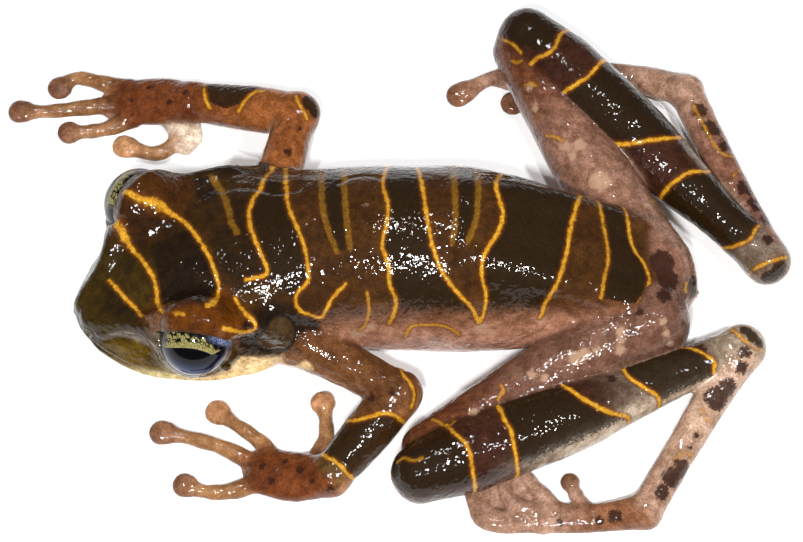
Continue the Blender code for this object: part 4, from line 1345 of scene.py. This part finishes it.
# Creases of each part, and folds where the depth is less than nought: depth, width, whether both
# sides of the head have it, and the pixels.
CREASES = {
    "body": (
        (0.14, 0.3, True, ((164, 309), (160, 316), (158, 326), (160, 338))),
        (-0.14, 0.35, True, ((160, 310), (155, 317), (154, 326), (156, 337))),
        (-0.12, 0.4, True, ((100, 335), (118, 331), (136, 334), (150, 340), (160, 349))),
        (0.1, 0.3, True, ((104, 341), (120, 338), (136, 341), (150, 348), (160, 358))),
        (0.12, 0.35, True, ((232, 343), (238, 352), (238, 360), (228, 370))),
        (0.16, 0.35, False, ((223, 191), (240, 187), (258, 189), (276, 193), (298, 190))),
        (-0.16, 0.5, False, ((226, 183), (244, 178), (262, 180), (280, 184), (300, 180))),
        (0.1, 0.3, False, ((340, 183), (350, 178), (365, 176), (380, 178))),
        (0.1, 0.4, False, ((300, 330), (312, 336), (330, 340), (350, 343))),
        (0.1, 0.35, False, ((500, 350), (520, 342), (540, 333), (556, 322))),
    ),
    "thigh_left": ((0.08, 0.35, False, ((545, 345), (565, 338), (590, 328), (615, 316))),),
    "arm_left": (
        (0.12, 0.3, False, ((380, 393), (392, 388), (402, 380), (406, 370))),
        (0.1, 0.3, False, ((334, 452), (342, 462), (350, 470), (356, 480))),
    ),
    "arm_right": (
        (0.12, 0.3, False, ((278, 135), (283, 126), (290, 119), (300, 114))),
        (0.1, 0.3, False, ((192, 86), (190, 96), (190, 108), (194, 118))),
    ),
}


def relief(points, owners):
    """How far the skin stands out from the plain form at each point."""
    lift = np.zeros(len(points))
    for seed, (depth, size) in enumerate(LUMPS, start=1):
        lift += depth * lattice_noise(points, size, seed)
    for eye in EYES.values():
        far, upper, lower = eye.measures(points)
        lift = np.where(far < ORBIT + 1, lift * rise(np.maximum(upper, lower), 0.1, 1.2), lift)
    for part, creases in CREASES.items():
        chosen = owned_by(owners, CARRIERS[part])
        for depth, width, both, pixels in creases:
            path = smooth_line(cast(skin_field, pixels))
            paths = [path]
            if both:
                back, side, height = to_body(path)
                paths.append(to_world(back, -side, height))
            for path in paths:
                lift[chosen] -= depth * hump(path_distance(points[chosen], path), width)
    # The mouth's groove between its lips.
    body = owned_by(owners, ("body",))
    spot = points[body]
    back, side, height = to_body(spot)
    half, top, bottom, middle = section(back)[:4]
    off = height - middle
    mouth = rise(back, MOUTH_START, 1.2) * (1 - rise(back, MOUTH_END - 1.5, MOUTH_END))
    mouth = mouth * rise(np.abs(side) / half, 0.3, 0.5)
    mouth = np.where(back < 2.0, rise(back, -0.3, 0.2), mouth)
    groove = LIP_SWELL * hump(np.abs(off) - LIP_OFFSET, LIP_WIDTH)
    lift[body] += mouth * (groove - MOUTH_DEPTH * hump(off, MOUTH_WIDTH))
    # Nostrils and ear drums.
    for way in (1, -1):
        hole = to_world(NOSTRIL[0], way * NOSTRIL[1], NOSTRIL[2])
        far = np.linalg.norm(spot - hole, axis=1)
        rim = NOSTRIL_RIM * hump(far - RIM_RADIUS, RIM_WIDTH)
        lift[body] += rim - NOSTRIL_DEPTH * hump(far, NOSTRIL_WIDTH)
        far = ear_distance(spot, way)
        dip = hump(far - EAR_RADIUS, DRUM_GROOVE_WIDTH) + 1 - rise(far, DRUM_FLOOR, EAR_RADIUS)
        lift[body] -= DRUM_DEPTH * dip
    return lift


def add_values(mesh, name, values):
    layer = mesh.attributes.new(name, "FLOAT", "POINT")
    layer.data.foreach_set("value", values.astype(np.float32))


def make_skin():
    """The skin, with its colour and marks as values of its points."""
    obj = make_skin_mesh()
    mesh = obj.data
    points, normals = read_points(mesh), read_points(mesh, "normal")
    owners = np.zeros(len(points), int)
    skin_field(points, owners)
    for name, values in mark(points, owners).items():
        add_values(mesh, name, values)
    layer = mesh.attributes.new("tint", "FLOAT_COLOR", "POINT")
    rgba = np.ones((len(points), 4), np.float32)
    rgba[:, :3] = paint(mesh, points, owners)
    layer.data.foreach_set("color", rgba.ravel())
    points = points + normals * relief(points, owners)[:, None]
    points[:, 2] = np.maximum(points[:, 2], 0.0)
    write_points(mesh, place(points))
    mesh.polygons.foreach_set("use_smooth", np.ones(len(mesh.polygons), bool))
    mesh.materials.clear()
    mesh.materials.append(skin_material())
    return obj


# From the frog's own frame to the model's.

BOX_LOW, BOX_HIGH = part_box("eye_left")
SHIFT = np.array((BOX_LOW + BOX_HIGH) / 2) / MM - EYES["eye_left"].centre


def place(points):
    """Places in the model's frame, in metres."""
    return (np.asarray(points) + SHIFT) * MM


# Materials.

# The height of the skin's bumps, and the shine of skin and eyes.
SKIN_BUMP = 0.062
SKIN_FINISH = {"Roughness": 0.6, "Specular IOR Level": 0.04}
SKIN_COAT = {"Coat Weight": 0.8, "Coat Roughness": 0.04, "Coat IOR": 1.36}
EYE_FINISH = {"Roughness": 0.4, "Specular IOR Level": 0.03}
EYE_COAT = {"Coat Weight": 0.8, "Coat Roughness": 0.015, "Coat IOR": 1.33}
EYEBALL_SIDES, EYEBALL_LOOPS = 128, 96


class Shader:
    """A node material, built a step at a time."""

    def __init__(self, name):
        self.material = bpy.data.materials.new(name)
        self.material.use_nodes = True
        self.tree = self.material.node_tree
        self.surface = self.tree.nodes["Principled BSDF"]
        where = self.node("ShaderNodeTexCoord")
        grow = self.node("ShaderNodeVectorMath", operation="SCALE")
        grow.inputs["Scale"].default_value = 1 / MM
        self.tree.links.new(where.outputs["Object"], grow.inputs[0])
        self.place = grow.outputs[0]

    def node(self, kind, **settings):
        made = self.tree.nodes.new(kind)
        for key, value in settings.items():
            setattr(made, key, value)
        return made

    def feed(self, socket, value):
        if isinstance(value, bpy.types.NodeSocket):
            self.tree.links.new(value, socket)
        elif isinstance(value, tuple) and len(value) == 3:
            socket.default_value = (*value, 1.0)
        else:
            socket.default_value = value

    def gloss(self, values):
        for name, value in values.items():
            self.surface.inputs[name].default_value = value

    def attribute(self, name, output="Fac"):
        return self.node("ShaderNodeAttribute", attribute_name=name).outputs[output]

    def noise(self, size, detail=2.0, roughness=0.5):
        made = self.node("ShaderNodeTexNoise")
        self.feed(made.inputs["Vector"], self.place)
        made.inputs["Scale"].default_value = 1 / size
        made.inputs["Detail"].default_value = detail
        made.inputs["Roughness"].default_value = roughness
        return made.outputs["Fac"]

    def grains(self, size, feature="F1"):
        made = self.node("ShaderNodeTexVoronoi", feature=feature)
        self.feed(made.inputs["Vector"], self.place)
        made.inputs["Scale"].default_value = 1 / size
        return made.outputs["Distance"]

    def math(self, operation, a, b=0.0):
        made = self.node("ShaderNodeMath", operation=operation)
        self.feed(made.inputs[0], a)
        self.feed(made.inputs[1], b)
        return made.outputs[0]

    def times(self, a, b):
        return self.math("MULTIPLY", a, b)

    def less(self, a, b):
        return self.math("SUBTRACT", a, b)

    def sum(self, *values):
        """The sum of values, each a socket or a socket with its share."""
        total = None
        for value in values:
            if isinstance(value, tuple):
                value = self.times(*value)
            total = value if total is None else self.math("ADD", total, value)
        return total

    def step(self, value, low, high, start=0.0, end=1.0):
        """A smooth step of the value from start at low to end at high."""
        made = self.node("ShaderNodeMapRange", interpolation_type="SMOOTHSTEP")
        for name, given in zip(
            ("Value", "From Min", "From Max", "To Min", "To Max"), (value, low, high, start, end)
        ):
            self.feed(made.inputs[name], given)
        return made.outputs[0]

    def mix(self, share, a, b, blend_type="MIX"):
        made = self.node("ShaderNodeMix", data_type="RGBA", blend_type=blend_type)
        self.feed(made.inputs["Factor"], share)
        self.feed(made.inputs["A"], a)
        self.feed(made.inputs["B"], b)
        return made.outputs["Result"]

    def bump(self, height, depth):
        made = self.node("ShaderNodeBump")
        made.inputs["Distance"].default_value = depth * MM
        made.inputs["Strength"].default_value = 1.0
        self.feed(made.inputs["Height"], height)
        self.feed(self.surface.inputs["Normal"], made.outputs["Normal"])
        self.feed(self.surface.inputs["Coat Normal"], made.outputs["Normal"])


def skin_material():
    """The tint with its marks, under a wet coat."""
    shader = Shader("wet_skin")
    # Patterns.
    mottle = shader.noise(0.9, 4.0, 0.6)
    fleck = shader.noise(0.2, 3.0, 0.6)
    waver = shader.less(shader.noise(0.5, 3.0), 0.5)
    grit = shader.less(fleck, 0.5)
    # The plain skin: its tint with clouds, grain and fine dots.
    tint = shader.attribute("tint", "Color")
    cloud = shader.mix(shader.step(mottle, 0.34, 0.66), (0.72, 0.68, 0.62), (1.24, 1.26, 1.28))
    grain = shader.mix(shader.step(fleck, 0.36, 0.64), (0.8, 0.77, 0.73), (1.2, 1.2, 1.2))
    broad = shader.step(shader.noise(2.6, 2.0), 0.35, 0.65)
    wide = shader.mix(broad, (0.84, 0.8, 0.76), (1.12, 1.13, 1.14))
    colour = tint
    for shade in (wide, cloud, grain):
        colour = shader.mix(1.0, colour, shade, "MULTIPLY")
    dotted = shader.step(shader.noise(1.6, 2.0), 0.42, 0.6)
    dots = shader.times(shader.step(shader.grains(0.19), 0.32, 0.14), dotted)
    colour = shader.mix(shader.times(dots, 0.35), colour, DOT)
    # Dusky patches.
    dusk = shader.sum(shader.attribute("dusk"), (grit, 1.2), (waver, 1.2))
    colour = shader.mix(shader.step(dusk, 0.4, 0.7, 0.0, 0.92), colour, DUSK)
    # Pale blotches.
    blotch = shader.sum(shader.attribute("blotch"), (waver, 0.9), (grit, 0.8))
    colour = shader.mix(shader.step(blotch, 0.15, -0.25, 0.0, 0.7), colour, BLOTCH)
    # Dark bands.
    held = shader.sum(shader.attribute("hold"), (grit, 1.6), (waver, 0.8))
    held = shader.step(held, 0.3, 0.7, 0.0, 0.93)
    band = shader.sum(shader.attribute("band"), (waver, 0.35), (grit, 0.45))
    night = shader.mix(fleck, BAND_DARK, BAND_PALE)
    shown = shader.times(shader.step(band, 0.12, -0.12), held)
    colour = shader.mix(shown, colour, night)
    # Golden lines, each with a brown edge.
    line = shader.sum(shader.attribute("line"), (waver, 0.4), (grit, 0.2))
    glow = shader.times(shader.attribute("glow"), shader.step(mottle, 0.2, 0.6, 0.6, 1.0))
    edge = shader.times(shader.step(line, 0.34, 0.0, 0.0, 0.75), glow)
    colour = shader.mix(edge, colour, LINE_EDGE)
    gold = shader.mix(shader.step(fleck, 0.35, 0.65), GOLD_DEEP, GOLD)
    shown = shader.times(shader.step(line, 0.08, -0.12), glow)
    colour = shader.mix(shown, colour, gold)
    shader.feed(shader.surface.inputs["Base Color"], colour)
    # Gloss and small lumps.
    shader.gloss(SKIN_FINISH)
    shader.gloss(SKIN_COAT)
    lumps = shader.sum(
        (shader.grains(0.42, "SMOOTH_F1"), 1.0), (shader.noise(0.3, 1.0), 0.5), (shader.noise(1.3), 1.2)
    )
    shader.bump(lumps, SKIN_BUMP)
    return shader.material


def eye_material(name):
    """A golden band above a flat dark pupil, painted shadow of the upper lid above the band, and dark
    below, paler towards the lids.
    """
    shader = Shader(name)
    # Places on the eye, and how far they lie above the pupil's upper edge and its lower one.
    across, upward = shader.attribute("across"), shader.attribute("upward")
    opening = shader.attribute("opening")
    fleck = shader.noise(0.16, 3.0, 0.6)
    off = shader.math("ADD", across, 0.1)
    square = shader.times(off, off)
    arch = shader.less(0.13, shader.times(square, 0.52))
    tip = shader.times(shader.less(across, 0.4), 0.4)
    above = shader.less(upward, shader.math("MAXIMUM", arch, tip))
    floor = shader.less(shader.times(square, 0.62), 0.3)
    below = shader.less(upward, floor)
    # The pupil, and the dark below it.
    under = shader.mix(shader.step(upward, -0.25, -0.95), EYE_UNDER, EYE_LOWEST)
    pupil = shader.times(shader.step(above, 0.0, -0.02), shader.step(below, -0.12, 0.02))
    colour = shader.mix(pupil, under, PUPIL)
    # The golden band, with dark curls and a scalloped upper edge; above it, painted shadow of the upper
    # lid.
    gold = shader.mix(shader.step(fleck, 0.35, 0.65), IRIS, IRIS_FLECK)
    curls = shader.less(shader.noise(0.55, 1.0), 0.5)
    curls = shader.step(shader.math("ABSOLUTE", curls), 0.08, 0.04)
    gold = shader.mix(shader.times(curls, shader.step(above, 0.1, 0.2)), gold, CURL)
    gold = shader.mix(shader.step(above, 0.05, 0.0, 0.0, 0.6), gold, IRIS_RING)
    scallop = shader.math("ABSOLUTE", shader.math("SINE", shader.times(across, 13.0)))
    slope = shader.math("MAXIMUM", shader.less(across, 0.12), 0.0)
    top = shader.sum(upward, (slope, 0.72), (scallop, -0.09), (fleck, 0.05))
    ends = shader.times(shader.step(top, 0.42, 0.37), shader.step(across, -0.93, -0.8))
    shown = shader.times(shader.step(above, 0.0, 0.025), ends)
    # Painted shadow of the upper lid over the eye above the pupil.
    colour = shader.mix(shader.step(above, 0.0, 0.03), colour, EYE_LID_SHADOW)
    colour = shader.mix(shown, colour, gold)
    # Pale rims by the lids, behind and in front.
    back_rim = shader.times(shader.step(opening, -0.75, -0.2), shader.step(across, 0.1, 0.6))
    back_rim = shader.times(back_rim, shader.step(upward, -0.25, 0.0))
    rim = shader.mix(shader.step(fleck, 0.4, 0.6), BACK_RIM, BACK_RIM_FLECK)
    colour = shader.mix(back_rim, colour, rim)
    front_rim = shader.times(shader.step(opening, -0.4, -0.15), shader.step(upward, -0.1, -0.4))
    colour = shader.mix(front_rim, colour, FRONT_RIM)
    shader.feed(shader.surface.inputs["Base Color"], colour)
    shader.gloss(EYE_FINISH)
    shader.gloss(EYE_COAT)
    return shader.material


def make_eye(name):
    """An eyeball, turned the way it looks."""
    eye = EYES[name]
    gaze = eye.out * math.cos(GAZE_LIFT) + eye.up * math.sin(GAZE_LIFT)
    above = eye.up * math.cos(GAZE_LIFT) - eye.out * math.sin(GAZE_LIFT)
    work = bmesh.new()
    bmesh.ops.create_uvsphere(
        work, u_segments=EYEBALL_SIDES, v_segments=EYEBALL_LOOPS, radius=1.0
    )
    mesh = bpy.data.meshes.new(name + "_ball")
    work.to_mesh(mesh)
    work.free()
    local = read_points(mesh)
    points = local[:, :1] * eye.corners + local[:, 1:2] * above + local[:, 2:] * gaze
    reach = EYE_RADIUS * (1 + CORNEA_BULGE * rise(local[:, 2:], 0.4, 0.9))
    points = eye.centre + reach * points
    write_points(mesh, place(points))
    add_values(mesh, "across", local[:, 0])
    add_values(mesh, "upward", local[:, 1])
    far, upper, lower = eye.measures(points)
    add_values(mesh, "opening", np.maximum(upper, lower))
    obj = bpy.data.objects.new(name + "_ball", mesh)
    bpy.context.scene.collection.objects.link(obj)
    mesh.polygons.foreach_set("use_smooth", np.ones(len(mesh.polygons), bool))
    mesh.materials.append(eye_material(name + "_gloss"))
    return obj


# Floor, lights and camera.

FLOOR_SIZE = 1.5
FLOOR_COLOUR = (0.93, 0.94, 0.95)
FLOOR_FINISH = {"Roughness": 0.6}
WORLD_LIGHT = 0.16
# Each light's azimuth from over the camera, elevation, distance and size in mm, and power.
LIGHTS = {
    "key": (-8, 60, 500, 46, 2.65),
    "second": (50, 58, 500, 38, 1.5),
    "back": (197, 74, 500, 24, 0.8),
}


def make_floor():
    work = bmesh.new()
    bmesh.ops.create_grid(work, x_segments=1, y_segments=1, size=FLOOR_SIZE)
    mesh = bpy.data.meshes.new("floor")
    work.to_mesh(mesh)
    work.free()
    obj = bpy.data.objects.new("floor", mesh)
    bpy.context.scene.collection.objects.link(obj)
    shader = Shader("pale_floor")
    shader.feed(shader.surface.inputs["Base Color"], FLOOR_COLOUR)
    shader.gloss(FLOOR_FINISH)
    mesh.materials.append(shader.material)


def make_light(name, azimuth, elevation, distance, size, power):
    """A square soft light, aimed at the frog."""
    turn, lift = math.radians(azimuth), math.radians(elevation)
    light = bpy.data.lights.new(name, "AREA")
    light.shape = "SQUARE"
    light.size = size * MM
    light.energy = power
    obj = bpy.data.objects.new(name, light)
    way = Vector((math.sin(turn) * math.cos(lift), -math.cos(turn) * math.cos(lift), math.sin(lift)))
    obj.location = way * distance * MM
    obj.rotation_euler = way.to_track_quat("Z", "Y").to_euler()
    bpy.context.scene.collection.objects.link(obj)


def make_camera():
    camera = bpy.data.cameras.new("camera")
    camera.sensor_width = SENSOR
    camera.lens = FOCAL / PHOTO_WIDTH * SENSOR
    camera.clip_start = 0.01
    obj = bpy.data.objects.new("camera", camera)
    way = Vector((0.0, -COSINE, SINE))
    obj.location = Vector(place((0.0, 0.0, AIM_HEIGHT))) + way * CAMERA_DISTANCE * MM
    obj.rotation_euler = way.to_track_quat("Z", "Y").to_euler()
    bpy.context.scene.collection.objects.link(obj)
    bpy.context.scene.camera = obj


def make_world():
    world = bpy.data.worlds.new("studio")
    world.use_nodes = True
    background = world.node_tree.nodes["Background"]
    background.inputs["Color"].default_value = (1.0, 1.0, 1.0, 1.0)
    background.inputs["Strength"].default_value = WORLD_LIGHT
    bpy.context.scene.world = world
    bpy.context.scene.view_settings.view_transform = "Standard"


def main():
    flesh = [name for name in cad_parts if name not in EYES]
    skin = make_skin()
    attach(skin, "root")
    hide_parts(*flesh)
    for name in EYES:
        ball = make_eye(name)
        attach(ball, "root")
        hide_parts(name)
    make_floor()
    make_world()
    for name, values in LIGHTS.items():
        make_light(name, *values)
    make_camera()


main()
